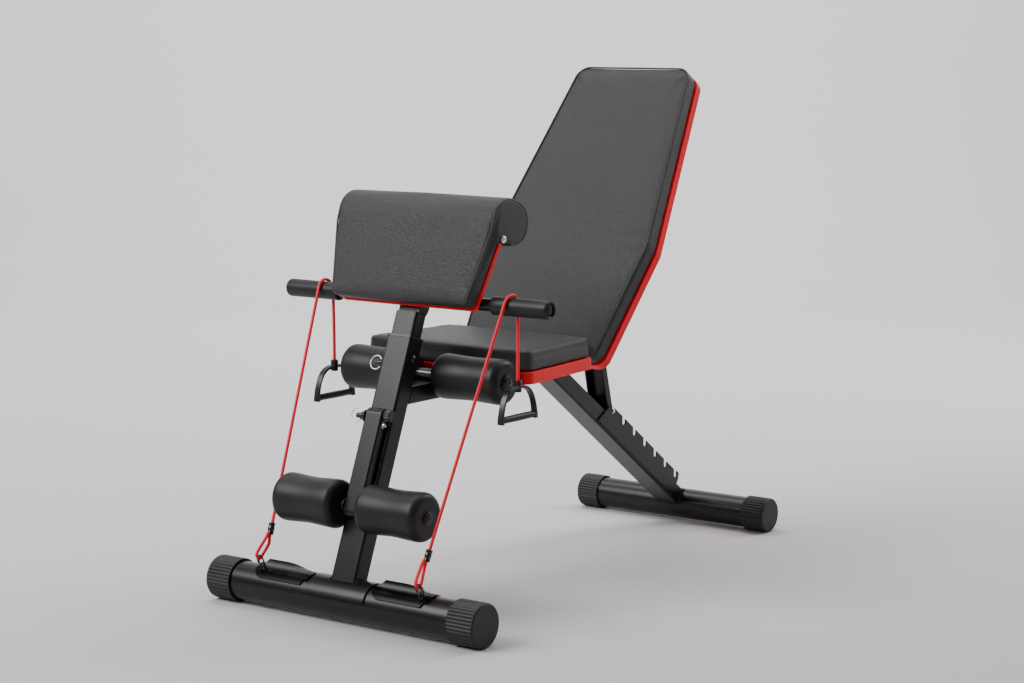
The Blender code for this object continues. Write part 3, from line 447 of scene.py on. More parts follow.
def smoothRoute(points, count):
    # evenly spaced points on a Catmull-Rom curve through the given ones
    ends = [points[0] * 2 - points[1]] + points + [points[-1] * 2 - points[-2]]
    fine = []
    for a, b, c, d in zip(ends, ends[1:], ends[2:], ends[3:]):
        for i in range(40):
            t = i / 40
            fine.append(0.5 * ((2 * b) + (c - a) * t + (2 * a - 5 * b + 4 * c - d) * t * t
                               + (3 * b - a - 3 * c + d) * t ** 3))
    fine.append(points[-1])
    runs = [0.0]
    for p, q in zip(fine, fine[1:]):
        runs.append(runs[-1] + (q - p).length)
    out = []
    k = 0
    for i in range(count + 1):
        want = runs[-1] * i / count
        while k < len(runs) - 2 and runs[k + 1] < want:
            k += 1
        part = (want - runs[k]) / max(runs[k + 1] - runs[k], 1e-9)
        out.append(fine[k].lerp(fine[k + 1], min(max(part, 0.0), 1.0)))
    return out


# elastic bands and their fittings
bandFacts = {"radius": 0.0028, "crimp": (0.168, 0.002, 0.134), "hookTop": (0.17, -0.026, 0.093),
             "hookLow": (0.17, -0.0194, 0.0751), "collar": (0.198, 0.2027, 0.384), "barZ": 0.333,
             "gripD": 0.0197, "gripS": 0.4562, "gripR": 0.0155}
gripSpot = postPlace @ Vector((0, bandFacts["gripD"], bandFacts["gripS"]))
wrapR = bandFacts["gripR"] + bandFacts["radius"] + 0.0007
away = Vector((0, -toMiddle, 0))
crimp = Vector(bandFacts["crimp"]) + away
hookTop = Vector(bandFacts["hookTop"]) + away
hookLow = Vector(bandFacts["hookLow"]) + away
collar = Vector(bandFacts["collar"]) + away
toGrip = Vector((gripSpot.y - crimp.y, gripSpot.z - crimp.z))
reach = sqrt(toGrip.length ** 2 - wrapR ** 2)
lean = atan2(toGrip.y, toGrip.x) + asin(wrapR / toGrip.length)
runWay = Vector((0.031, reach * cos(lean), reach * sin(lean)))
runDir = runWay.normalized()


def mirrored(points, side):
    return [Vector((p.x * side, p.y, p.z)) for p in points]


def makeBand(tag, side):
    run = [crimp + runWay * k for k in (0.0, 0.2, 0.4, 0.6, 0.8, 0.97)]
    over = []
    for i in range(9):
        turn = (lean + pi / 2) * (1 - i / 8)
        over.append(Vector((0.199 + 0.002 * sin(pi * i / 8), gripSpot.y + wrapR * cos(turn),
                            gripSpot.z + wrapR * sin(turn))))
    down = [Vector((0.1985, gripSpot.y + wrapR + 0.0004, gripSpot.z - 0.03)), Vector((0.198, collar.y, 0.43)),
            collar + Vector((0, 0, 0.014)), collar + Vector((0, 0, -0.001))]
    path = smoothRoute(run + [over[0]], 14) + smoothRoute(over, 12)[1:] + smoothRoute([over[-1]] + down, 9)[1:]
    path = mirrored(path, side)
    band = tubeAlong("band" + tag, path, bandFacts["radius"], elastic, None, sides=5)
    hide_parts("band_" + tag)
    # the eye of the band, doubled back through the hook into the crimp
    aside = Vector((0.0, -runDir.z, runDir.y)) * 0.0064
    eyeMid = hookTop + Vector((0, 0.0012, -0.005))
    eyeLine = [crimp - runDir * 0.007 + aside * 0.8, crimp - runDir * 0.017 + aside * 1.35,
               eyeMid + Vector((0, -0.0066, 0.0105)), eyeMid + Vector((0, -0.0048, 0.0022)),
               eyeMid + Vector((0, 0.0008, -0.0004)), eyeMid + Vector((0, 0.0066, 0.005)),
               crimp - runDir * 0.027 + Vector((0, 0.0014, 0)), crimp - runDir * 0.016,
               crimp - runDir * 0.005, crimp + runDir * 0.001]
    eye = tubeAlong("bandEye" + tag, mirrored(smoothRoute(eyeLine, 44), side), bandFacts["radius"], elastic,
                    "frame", sides=5)
    # pressed sleeve
    way = Vector((runDir.x * side, runDir.y, runDir.z))
    spot = Vector((crimp.x * side, crimp.y, crimp.z))
    sleevePlace = Matrix.Translation(spot) @ way.to_track_quat("X", "Z").to_matrix().to_4x4()
    sleeve = sameEnds([(-0.01, 0.0033), (-0.01, 0.005), (-0.0094, 0.0056), (-0.0062, 0.0057), (-0.0052, 0.0051),
                       (-0.0034, 0.0051), (-0.0024, 0.0057)])
    crimpPiece = addPiece("crimpSleeve" + tag, turned(sleeve, True, 32, at=sleevePlace), gunmetal, "frame",
                          ["crimp_" + tag])
    # snap hook
    axis = (hookTop - hookLow).normalized()
    mid = (hookTop + hookLow) / 2
    half = (hookTop - hookLow).length / 2
    link = []
    for i in range(48):
        a = tau * i / 48
        wide = 0.0066 * sin(a) * (1.0 - 0.15 * cos(a))
        along = half * cos(a)
        link.append(Vector(((mid.x + wide) * side, mid.y + axis.y * along, mid.z + axis.z * along)))
    hook = tubeAlong("snapHook" + tag, link, 0.0015, plastic, "frame", closed=True)
    gatePlace = Matrix.Translation(Vector(((mid.x + 0.0058) * side, mid.y, mid.z))) @ \
        axis.to_track_quat("X", "Z").to_matrix().to_4x4()
    gate = sameEnds([(-0.0048, 0.0), (-0.0048, 0.002), (-0.004, 0.0023)])
    addPiece("hookGate" + tag, turned(gate, steps=20, at=gatePlace), gunmetal, "frame")
    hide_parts("hook_" + tag)
    # collar, stirrup frame and grip
    cupPlace = Matrix.Translation((collar.x * side, collar.y, collar.z))
    cup = [(-0.009, 0.0), (-0.009, 0.0056), (-0.0083, 0.0064), (0.0098, 0.0064), (0.0105, 0.0058),
           (0.0103, 0.0034), (-0.002, 0.0033), (-0.002, 0.0)]
    cupPiece = addPiece("handleCollar" + tag, turned(cup, False, 32, "Z", cupPlace), plastic, "preacher_head",
                        ["collar_" + tag])
    # flat strap bent over the collar, with a foot at each end of the bar
    barZ = bandFacts["barZ"]
    wing = [(0.0, 0.3862), (0.012, 0.3858), (0.024, 0.3822), (0.032, 0.3765), (0.038, 0.369), (0.0428, 0.359),
            (0.0462, 0.348), (0.0488, 0.336), (0.05, 0.3275), (0.0488, 0.3262), (0.0436, 0.3262),
            (0.0426, 0.3275), (0.0436, 0.337), (0.0425, 0.346), (0.0395, 0.357), (0.035, 0.366),
            (0.0292, 0.373), (0.0215, 0.3782), (0.008, 0.3808), (0.0, 0.381)]
    strap = bmesh.new()
    for way in (1, -1):
        extruded([(y * way, z) for y, z in wing], -0.0056, 0.0056,
                 Matrix.Translation((collar.x * side, collar.y, 0)), 0.0012, 3, bm=strap)
    bail = addPiece("handleFrame" + tag, strap, plastic, "preacher_head", ["handle_bail_" + tag])
    gripPlace = Matrix.Translation((collar.x * side, collar.y, barZ))
    tubeLine = [(-0.043, 0.003), (-0.043, 0.0052)]
    tubeLine += [(-0.042 + 0.084 * i / 12, 0.0055 + 0.0005 * sin(pi * i / 12)) for i in range(13)]
    tubeLine += [(0.043, 0.0052), (0.043, 0.003)]
    hand = addPiece("handleGrip" + tag, turned(tubeLine, True, 36, "Y", gripPlace), foam,
                    "handle_right" if side > 0 else "handle_left", ["handle_grip_" + tag], soft=True)
    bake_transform(band)


for tag, side in bothSides:
    makeBand(tag, side)
print("bench: bands strung")


# feet
footFacts = {"front": (0.0, 0.037, 0.033, 0.285, 0.053, 0.037), "rear": (1.0, 0.033, 0.0293, 0.216, 0.048, 0.033)}


def ribbedCap(name, x0, x1, big, side, y, z, replaced):
    # moulded cap: flutes along its skirt, a smooth rolled rim, a flat disc with a shallow ring
    ribs = 36
    bm = bmesh.new()
    skirt = bmesh.ops.create_circle(bm, cap_ends=False, radius=big - 0.0006, segments=ribs * 6)["verts"]
    bmesh.ops.rotate(bm, verts=skirt, cent=(0, 0, 0), matrix=Matrix.Rotation(radians(90), 3, "Y"))
    edges = bm.edges[:]

    def step(edges, dx, radius, flutes):
        grown = bmesh.ops.extrude_edge_only(bm, edges=edges)["geom"]
        for v in vertsIn(grown):
            turn = atan2(v.co.z, v.co.y)
            r = radius - (0.0014 * (0.5 + 0.5 * cos(turn * ribs)) ** 3 if flutes else 0.0)
            v.co = Vector((v.co.x + dx, r * cos(turn), r * sin(turn)))
        return [g for g in grown if isinstance(g, bmesh.types.BMEdge)]

    length = x1 - x0
    for dx, radius, flutes in ((0.0006, big - 0.0001, False), (0.001, big, True), (length - 0.0062, big, True),
                               (0.0012, big - 0.0001, True), (0.0014, big - 0.0006, False),
                               (0.0012, big - 0.0016, False), (0.0006, big - 0.003, False),
                               (-0.0004, big - 0.005, False), (0.0004, big - 0.0062, False)):
        edges = step(edges, dx, radius, flutes)
    bmesh.ops.edgeloop_fill(bm, edges=edges)
    first = [e for e in bm.edges if e.is_boundary]
    for dx, radius in ((-0.0002, big - 0.002), (0.003, big - 0.0034)):
        first = step(first, dx, radius, False)
    bmesh.ops.edgeloop_fill(bm, edges=first)
    moveAll(bm, Matrix.Translation((x0, 0, 0)))
    if side < 0:
        bmesh.ops.scale(bm, verts=bm.verts, vec=(-1, 1, 1))
    moveAll(bm, place(y, z))
    addPiece(name, bm, capRubber, "frame", [replaced], smooth=40)


for end, (y, z, r, half, capLen, capR) in footFacts.items():
    tube = sameEnds([(-half + 0.0065, r - 0.002), (-half + 0.0065, r)])
    addPiece(end + "FootTube", turned(tube, True, 96, at=place(y, z)), powder, "frame", [end + "_foot_tube"])
    for tag, side in bothSides:
        ribbedCap(end + "Cap" + tag, half - capLen, half, capR, side, y, z, end + "_cap_" + tag)

saddleR = footFacts["front"][2] + 0.0003
saddle = arc(0, 0, saddleR + 0.003, 165, 25, 40) + arc(0, 0, saddleR, 25, 165, 40)
addPiece("saddlePlate", extruded(saddle, -0.061, 0.061, place(0, 0.037), 0.0009), powder, "frame",
         ["front_saddle"])

# dished foot plates with a rolled rear lip, and the welded eyes for the hooks
thick = 0.0025
for tag, side in bothSides:
    outer = arc(0, 0, saddleR + thick, 146, 90, 22) + arc(0, saddleR + 0.04, 0.04 - thick, -90, -62, 12)[1:]
    inner = arc(0, 0, saddleR, 146, 90, 22) + arc(0, saddleR + 0.04, 0.04, -90, -62, 12)[1:]

    def roundEnds(co, side=side):
        # the lip stands proud at one end and sinks to the tube at the other; the front edge steps in
        u = (co.x - (0.127 * side - 0.059)) / 0.118
        if co.y > 0.0:
            rise = 1.0 if u < 0.35 else 0.1 + 0.9 * (0.5 + 0.5 * cos(pi * (u - 0.35) / 0.65))
            onTube = sqrt((saddleR + 0.0012) ** 2 - co.y ** 2) + (0.0012 if co.z > 0.036 else 0.0)
            return Vector((co.x, co.y * (0.72 + 0.28 * rise), onTube + (co.z - onTube) * rise))
        turn = atan2(co.z, co.y) - pi / 2
        reach = 0.72 if u > 0.93 else (0.55 + 0.45 * sin(pi / 2 * min(u / 0.14, 1.0)))
        r = hypot(co.y, co.z)
        turn = pi / 2 + turn * reach
        return Vector((co.x, r * cos(turn), r * sin(turn)))

    plateBm = extruded(outer + inner[::-1], 0.068 * side, 0.186 * side, still, 0.0)
    cuts = [e for e in plateBm.edges if abs(e.verts[0].co.x - e.verts[1].co.x) > 0.05]
    bmesh.ops.subdivide_edges(plateBm, edges=cuts, cuts=30, use_grid_fill=True)
    for v in plateBm.verts:
        v.co = roundEnds(v.co)
    moveAll(plateBm, place(0, 0.037))
    addPiece("footPlate" + tag, plateBm, glossBlack, "frame", ["foot_plate_" + tag])
    eyeWay = radians(117)
    reachOut = saddleR + thick + 0.0048
    ring = [(0.0015 * cos(tau * i / 12), 0.006 + 0.0015 * sin(tau * i / 12)) for i in range(12)]
    eyePlace = place(reachOut * cos(eyeWay), 0.037 + reachOut * sin(eyeWay), x=0.17 * side)
    addPiece("hookEye" + tag, turned(ring, True, 36, at=eyePlace), plastic, "frame")
print("bench: feet done")


# frame tubes
postFacts = {"halfW": 0.0257, "depth": 0.0345, "top": 0.3845}
addPiece("frontPost", squareTube(postFacts["halfW"], 0.0, postFacts["depth"], -0.055, postFacts["top"], postPlace,
                                 0.0045, planes=[((0, 0, -0.034), (0, -0.28, -1))]), powder, "frame", ["post"])
addPiece("postBush", squareTube(postFacts["halfW"] + 0.0008, -0.0008, postFacts["depth"] + 0.0008,
                                postFacts["top"] + 0.0003, postFacts["top"] + 0.0045, postPlace, 0.005, 0.003),
         plastic, "frame", ["post_bush"])
beamPlace = place(0.0, 0.376, -90)
addPiece("seatBeam", squareTube(0.025, 0.0, 0.03, 0.13, 0.54, beamPlace, 0.004, planes=[
    ((0, 0, 0.1437), (0, -0.39, -1)), ((0, 0.03, 0.535), (0, -1.403, 1)), ((0, 0.0, 0.519), (0, -1.4, 1))]),
    powder, "frame", ["seat_beam"])
legTurned = legPlace @ Matrix(((1, 0, 0, 0), (0, 0, 1, 0), (0, -1, 0, 0), (0, 0, 0, 1)))
addPiece("rearLeg", squareTube(0.0248, -0.033, 0.0, 0.096, 0.648, legTurned, 0.0042), powder, "frame",
         ["rear_leg"])


def weld(name, route, radius, body):
    # a hand-laid bead: a lumpy tube along the joint
    tubeAlong(name, smoothRoute(route, max(12, len(route) * 8)), radius, powder, body, sides=2, smooth=60, lumpy=True)


# comb plates: the slots stand upright when the leg slopes
combFacts = {"first": 0.3218, "pitch": 0.04475, "z": 0.0415, "r": 0.0053, "top": 0.0485, "count": 7}
tilt = radians(-35.48)
up = (sin(tilt), cos(tilt))
across = (cos(tilt), -sin(tilt))
comb = [(combFacts["first"] - 0.034, 0.004), (combFacts["first"] - 0.0175, combFacts["top"] - 0.009),
        (combFacts["first"] - 0.0125, combFacts["top"])]
for k in range(combFacts["count"]):
    cy, cz, r = combFacts["first"] + combFacts["pitch"] * k, combFacts["z"], combFacts["r"]
    left = (cy - r * across[0], cz - r * across[1])
    right = (cy + r * across[0], cz + r * across[1])
    rise = (combFacts["top"] - left[1]) / up[1]
    comb.append((left[0] + up[0] * rise, combFacts["top"]))
    start = degrees(atan2(-across[1], -across[0]))
    comb += arc(cy, cz, r, start, start + 180, 10)
    rise = (combFacts["top"] + (0.002 if k == combFacts["count"] - 1 else 0.0) - right[1]) / up[1]
    comb.append((right[0] + up[0] * rise, right[1] + up[1] * rise))
combEnd = combFacts["first"] + combFacts["pitch"] * 6 + 0.0145
comb += [(combEnd - 0.005, combFacts["top"] + 0.001), (combEnd, combFacts["top"] - 0.01), (combEnd, 0.004)]
for tag, side in bothSides:
    addPiece("combPlate" + tag, extruded(comb, 0.0251 * side, 0.0281 * side, legPlace, 0.0005), powder, "frame",
             ["comb_" + tag])


def inPost(x, d, s):
    return postPlace @ Vector((x, d, s))


def inLeg(x, a, h):
    return legPlace @ Vector((x, a, h))


for side in (1, -1):
    weld("combWeld%d" % (side + 1), [inLeg(0.0262 * side, 0.3 + 0.05 * i, 0.0036) for i in range(7)], 0.0016, "frame")
footA, footH, footR = 0.6649, 0.0147, 0.0293
weld("legWeldTop", [inLeg(-0.024 + 0.012 * i, footA - sqrt(footR ** 2 - (0.033 - footH) ** 2), 0.0335)
                    for i in range(5)], 0.0022, "frame")
for side in (1, -1):
    weld("legWeldSide%d" % (side + 1), [inLeg(0.0252 * side, footA - sqrt(footR ** 2 - (h - footH) ** 2), h)
                                        for h in (0.001, 0.009, 0.017, 0.025, 0.032)], 0.002, "frame")
    foot = postPlace.inverted() @ Vector((0, -toMiddle, 0.037))  # the foot tube's middle in the post's frame
    line = [inPost(0.0262 * side, d, foot.z + sqrt(0.0366 ** 2 - (d - foot.y) ** 2))
            for d in (0.001, 0.009, 0.017, 0.025, 0.033)]
    weld("postWeld%d" % (side + 1), line, 0.002, "frame")
print("bench: frame tubes done")


# roller carriage on the post
hangerFacts = {"halfW": 0.0175, "d0": -0.0193, "s0": 0.074, "s1": 0.2595, "axle": (-0.011, 0.0918),
               "knob": (-0.0118, 0.2475), "bolt": (-0.01, 0.2312), "pin": (-0.01, 0.243)}
outline = rounded([(hangerFacts["d0"], hangerFacts["s0"], 0.009), (-0.0003, hangerFacts["s0"], 0.003),
                   (-0.0003, hangerFacts["s1"], 0.003), (hangerFacts["d0"], hangerFacts["s1"], 0.012)], 10)
addPiece("rollerHanger", extruded(outline, -hangerFacts["halfW"], hangerFacts["halfW"], postPlace, 0.003, 4),
         powder, "roller_carriage", ["roller_hanger"])
axleLine = sameEnds([(-0.153, 0.0), (-0.153, 0.0054), (-0.1524, 0.006)])
lowerAxle = postPlace @ Matrix.Translation((0, *hangerFacts["axle"]))
addPiece("lowerAxle", turned(axleLine, steps=32, at=lowerAxle), gunmetal, "roller_carriage", ["lower_axle"])
for side in (1, -1):
    washer = [(0.0178 * side, 0.0063), (0.0178 * side, 0.0105), (0.019 * side, 0.011), (0.0245 * side, 0.011),
              (0.0256 * side, 0.01), (0.0256 * side, 0.0063)]
    addPiece("spacer%d" % (side + 1), turned(washer, True, 32, at=lowerAxle), plastic, "roller_carriage")


def foamRoller(name, x0, x1, big, waist, bore, side, at, body, replaced):
    # dense foam sleeve: fuller at both ends, a soft shoulder, a pressed end disc with a bore
    def shoulder(mid, way, turns):
        return [(mid + way * 0.012 * cos(radians(t)), big - 0.012 + 0.012 * sin(radians(t)))
                for t in turns]

    length = x1 - x0
    line = [(x0, bore), (x0 + 0.0008, bore + 0.003), (x0 + 0.0003, big - 0.0145)]
    line += shoulder(x0 + 0.012, -1, (8, 24, 40, 56, 72, 86))
    for i in range(1, 24):
        k = i / 24
        swell = (0.5 + 0.5 * cos(tau * k)) ** 0.9
        line.append((x0 + 0.01 + (length - 0.02) * k, waist + (big - waist) * swell))
    line += shoulder(x1 - 0.012, 1, (86, 72, 56, 40, 24, 8))
    line += [(x1 - 0.0003, big - 0.0145), (x1 - 0.0008, bore + 0.003), (x1, bore)]
    bm = turned([(a * side, r) for a, r in line], True, 72, at=at)
    addPiece(name, bm, foam, body, [replaced], smooth=60, soft=True)


upperAxle = place(0.214, 0.386)
for tag, side, word in (("R", 1, "right"), ("L", -1, "left")):
    foamRoller("lowerRoller" + tag, 0.026, 0.1525, 0.0408, 0.0386, 0.0063, side, lowerAxle, "lower_" + word,
               "lower_roller_" + tag)
    foamRoller("upperRoller" + tag, 0.03, 0.1675, 0.0384, 0.0366, 0.0098, side, upperAxle, "upper_" + word,
               "upper_roller_" + tag)
    for name, at, x, r, body in (("lowerEnd", lowerAxle, 0.153, 0.0105, "lower_" + word),
                                 ("upperEnd", upperAxle, 0.168, 0.0135, "upper_" + word)):
        # washer under a domed nut with a shallow socket
        cup = [(x + 0.0002, 0.0), (x + 0.0002, r), (x + 0.0009, r), (x + 0.0014, r - 0.0008), (x + 0.0015, r - 0.003),
               (x + 0.003, r - 0.0036), (x + 0.0037, r - 0.0052), (x + 0.0037, 0.0028), (x + 0.0026, 0.0026),
               (x + 0.0026, 0.0)]
        addPiece(name + "Nut" + tag, turned([(a * side, b) for a, b in cup], steps=36, at=at), plastic,
                 "roller_carriage" if name == "lowerEnd" else "frame")
axleLine = sameEnds([(-0.168, 0.0), (-0.168, 0.009), (-0.1674, 0.0095)])
addPiece("upperAxle", turned(axleLine, steps=40, at=upperAxle), gunmetal, "frame", ["upper_axle"])

# knob with finger ribs, plated bolt
knobPlace = postPlace @ Matrix.Translation((0, *hangerFacts["knob"]))
knob = turned([(0.0156, 0.0), (0.0156, 0.003), (0.0215, 0.003), (0.0215, 0.0085), (0.0224, 0.0098),
               (0.0236, 0.0104), (0.0326, 0.0104), (0.034, 0.0098), (0.035, 0.0084), (0.0346, 0.005),
               (0.0348, 0.0)], steps=72, at=still)
for v in knob.verts:
    r = hypot(v.co.y, v.co.z)
    if r > 0.0094 and 0.0222 < v.co.x < 0.0342:
        turn = atan2(v.co.z, v.co.y)
        ease = 1.0 - 0.1 * (0.5 + 0.5 * cos(turn * 18)) ** 2
        v.co.y *= ease
        v.co.z *= ease
moveAll(knob, knobPlace)
addPiece("clampKnob", knob, plastic, "knob", ["clamp_knob"], smooth=40)
boltPlace = postPlace @ Matrix.Translation((0, *hangerFacts["bolt"]))
bolt = turned([(0.0156, 0.0), (0.0156, 0.0028), (0.0178, 0.0028), (0.0178, 0.0052), (0.0186, 0.0052),
               (0.0188, 0.004), (0.0215, 0.004), (0.0232, 0.0032), (0.024, 0.0015), (0.024, 0.0)],
              steps=24, at=boltPlace)
addPiece("hangerBolt", bolt, zinc, "roller_carriage", ["hanger_bolt"])


def pullPin(stem, face, nose, d, s, body, bossBody):
    spot = postPlace @ Matrix.Translation((0, d, s))
    boss = [(-0.0105, 0.0041), (-0.0105, 0.0064), (-0.0098, 0.007), (-0.0052, 0.007), (-0.0046, 0.0105),
            (-0.0036, 0.0112), (-0.0012, 0.0112), (-0.0003, 0.0104), (-0.0003, 0.0041)]
    addPiece(stem + "Boss", turned([(face + a, r) for a, r in boss], True, 36, at=spot), plastic, bossBody,
             [stem + "_pin_boss"])
    grip = face - 0.0112
    head = face - 0.0225
    bm = turned([(nose, 0.0), (nose, 0.003), (nose - 0.0008, 0.0036), (grip, 0.0036), (grip, 0.0058),
                 (grip - 0.0006, 0.0062), (grip - 0.0026, 0.0062), (grip - 0.0032, 0.0054), (grip - 0.0034, 0.0045),
                 (head, 0.0045), (head - 0.0008, 0.0038), (head - 0.001, 0.0)], steps=36, at=spot)
    addPiece(stem + "Pin", bm, plastic, body, [stem + "_pin"])
    ring = [(0.001 * cos(tau * i / 12), 0.0117 + 0.001 * sin(tau * i / 12)) for i in range(12)]
    ringPlace = spot @ Matrix.Translation((head - 0.0013, 0, 0))
    addPiece(stem + "Ring", turned(ring, True, 64, "Y", ringPlace), wire, body, [stem + "_pin_ring"])


pullPin("hanger", -0.0175, -0.0152, *hangerFacts["pin"], "hanger_pull", "roller_carriage")
pullPin("post", -0.0257, -0.0231, 0.017, 0.34, "post_pull", "frame")
rivet = [(0.0, 0.0), (0.0, 0.0062), (0.0012, 0.006), (0.0026, 0.0046), (0.0032, 0.0022), (0.0034, 0.0)]
addPiece("upperRivet", turned(rivet, steps=28, at=postPlace @ Matrix.Translation((0.0257, 0.0175, 0.352))), plastic,
         "frame")
print("bench: carriage done")


# preacher head hardware
barPlace = postPlace @ Matrix.Translation((0, 0.0197, 0.4562))
addPiece("handlebar", turned(sameEnds([(-0.27, 0.009), (-0.27, 0.0105)]), True, 48, at=barPlace), powder,
         "preacher_head", ["handlebar"])
for tag, side in bothSides:
    line = [(0.2705, 0.0), (0.2705, 0.0108), (0.165, 0.0108), (0.1648, 0.014), (0.1656, 0.0151), (0.167, 0.0155)]
    line += [(0.167 + 0.107 * i / 10, 0.0155 - 0.0002 * sin(pi * i / 10)) for i in range(1, 10)]
    line += [(0.2742, 0.0155), (0.2764, 0.0151), (0.2778, 0.014), (0.278, 0.0124), (0.2772, 0.0112),
             (0.2744, 0.0106), (0.2736, 0.0096), (0.2748, 0.0084), (0.2764, 0.006), (0.2768, 0.0)]
    addPiece("barGrip" + tag, turned([(a * side, r) for a, r in line], steps=56, at=barPlace), foam,
             "preacher_head", ["bar_grip_" + tag], soft=True)
bracket = [(0.01, 0.4305), (0.0315, 0.4305), (0.0345, 0.44), (0.0345, 0.475), (0.02, 0.5), (0.0075, 0.5)]
addPiece("headBracket", extruded(bracket, -0.0225, 0.0225, postPlace, 0.0012, 3), powder, "preacher_head",
         ["pad_bracket"])


def padHalf(t):
    return 0.1442 + 0.0233 * min(t / 0.127, 1.0)


edge = rounded([(-padHalf(-0.003) + 0.001, -0.0032, 0.007), (padHalf(-0.003) - 0.001, -0.0032, 0.007),
                (padHalf(0.114) - 0.001, 0.114, 0.004), (-padHalf(0.114) + 0.001, 0.114, 0.004)], 8)
addPiece("armBoard", plate(edge, 0.0303, 0.0383, padPlace, 0.0012, 0.0012, turnUp=True), redBoard,
         "preacher_head", ["preacher_board"])
for side in (1, -1):
    spot = padPlace @ Matrix.Translation((side * 0.1672, 0.0355, 0.1205))
    dome = [(0.0, 0.0), (0.0, 0.0062), (0.001 * side, 0.0062), (0.0024 * side, 0.005), (0.0036 * side, 0.0028),
            (0.004 * side, 0.0)]
    addPiece("armScrew%d" % (side + 1), turned(dome, steps=32, at=spot), wire, "preacher_head")
print("bench: head hardware done")


# boards, backrest frame and strut
def seatEdge(grow, front, back):
    return rounded([(-0.157 - grow, 0.475 + back, 0.014), (-0.177 - grow, 0.26 - front, 0.017),
                    (0.177 + grow, 0.26 - front, 0.017), (0.157 + grow, 0.475 + back, 0.014)], 12)


addPiece("seatBoard", plate(seatEdge(0.003, 0.003, 0.002), 0.377, 0.3975, flat, 0.0012, 0.0012), redBoard,
         "frame", ["seat_board"])


def backEdge(grow):
    return rounded([(-0.1448 - grow, -0.012 - grow * 0.3, 0.02), (0.1448 + grow, -0.012 - grow * 0.3, 0.02),
                    (0.1707 + grow, 0.2194, 0.06), (0.1227 + grow, 0.5926 + grow * 0.3, 0.026),
                    (-0.1227 - grow, 0.5926 + grow * 0.3, 0.026), (-0.1707 - grow, 0.2194, 0.06)], 12)


addPiece("backBoard", plate(backEdge(0.004), 0.035, 0.052, backPlace, 0.0012, 0.0012, turnUp=True), redBoard,
         "backrest", ["back_board"])
hingeSpot = (backPlace.inverted() @ Vector((0, 0.557 - toMiddle, 0.36)))
he, ht = hingeSpot.y, hingeSpot.z
railE = 0.0523
flange = [(railE, 0.5), (railE, 0.004)] + arc(he, ht, 0.013, 200, 360, 20)
flange += [(he + 0.013, 0.03), (railE + 0.021, 0.06), (railE + 0.021, 0.24), (railE + 0.012, 0.262),
           (railE + 0.012, 0.5)]
channel = extruded(flange, 0.0256, 0.0305, backPlace, 0.0009)
extruded(flange, -0.0305, -0.0256, backPlace, 0.0009, bm=channel)
extruded([(railE, 0.034), (railE + 0.002, 0.034), (railE + 0.002, 0.5), (railE, 0.5)], -0.0256, 0.0256,
         backPlace, 0.0, bm=channel)
addPiece("backChannel", channel, powder, "backrest", ["back_frame"])
for i, t in enumerate((0.1, 0.3, 0.46)):
    spot = backPlace @ Matrix.Translation((0, railE + 0.002, t))
    head = [(0.0, 0.0), (0.0, 0.0085), (0.0008, 0.0085), (0.0009, 0.0062), (0.004, 0.0062), (0.0048, 0.0052),
            (0.0048, 0.003), (0.003, 0.0028), (0.003, 0.0)]
    addPiece("channelBolt%d" % i, turned(head, steps=24, axis="Y", at=spot), zinc, "backrest")
pinLine = sameEnds([(-0.035, 0.0), (-0.035, 0.008), (-0.034, 0.0095), (-0.0322, 0.01), (-0.0308, 0.01),
                    (-0.0308, 0.006)])
addPiece("hingePin", turned(pinLine, steps=48, at=place(0.557, 0.36)), zinc, "frame", ["hinge_pin"])
pivotLine = sameEnds([(-0.0338, 0.0), (-0.0338, 0.006), (-0.0328, 0.0074), (-0.0308, 0.0078), (-0.0308, 0.0045)])
addPiece("strutPivot", turned(pivotLine, steps=36, at=place(0.667, 0.535)), zinc, "backrest", ["strut_pivot_pin"])

strutLen = 0.28937
strutLine = arc(0.0, 0.0, 0.009, 0, 180, 20) + arc(0.0, -strutLen, 0.0074, 180, 360, 20)


def widen(co):
    k = min(max(-co.z / strutLen, 0.0), 1.0)
    return Vector((co.x * (0.017 + 0.005 * k) / 0.017, co.y, co.z))


strutBm = bmesh.new()
for side in (1, -1):
    extruded(strutLine, 0.017 * side, 0.014 * side, still, 0.0008, bm=strutBm, shape=widen)
for front, back, top, low in ((0.005, 0.0072, -0.012, -strutLen + 0.012), (-0.0082, -0.0062, 0.008, -0.044),
                              (-0.0082, -0.0062, -strutLen + 0.022, -strutLen + 0.001)):
    extruded([(front, top), (back, top), (back, low), (front, low)], -0.0142, 0.0142, still, 0.0, bm=strutBm,
             shape=widen)
moveAll(strutBm, strutPlace)
addPiece("supportStrut", strutBm, powder, "support", ["strut"])
footPin = strutPlace @ Matrix.Translation((0, 0, -strutLen))
pinLine = sameEnds([(-0.03, 0.0), (-0.03, 0.003), (-0.0292, 0.0038)])
addPiece("strutFootPin", turned(pinLine, steps=32, at=footPin), zinc, "support", ["strut_foot_pin"])
print("bench: hardware done")


# padded pieces
cushionFacts = {"pressure": 4.0, "frames": 20, "stiffness": 2.0, "smoothing": 5, "fill": 0.9}


def baked(piece):
    # its modifiers become its mesh
    done = finalMesh(piece)
    old = piece.data
    piece.modifiers.clear()
    piece.data = done
    bpy.data.meshes.remove(old)


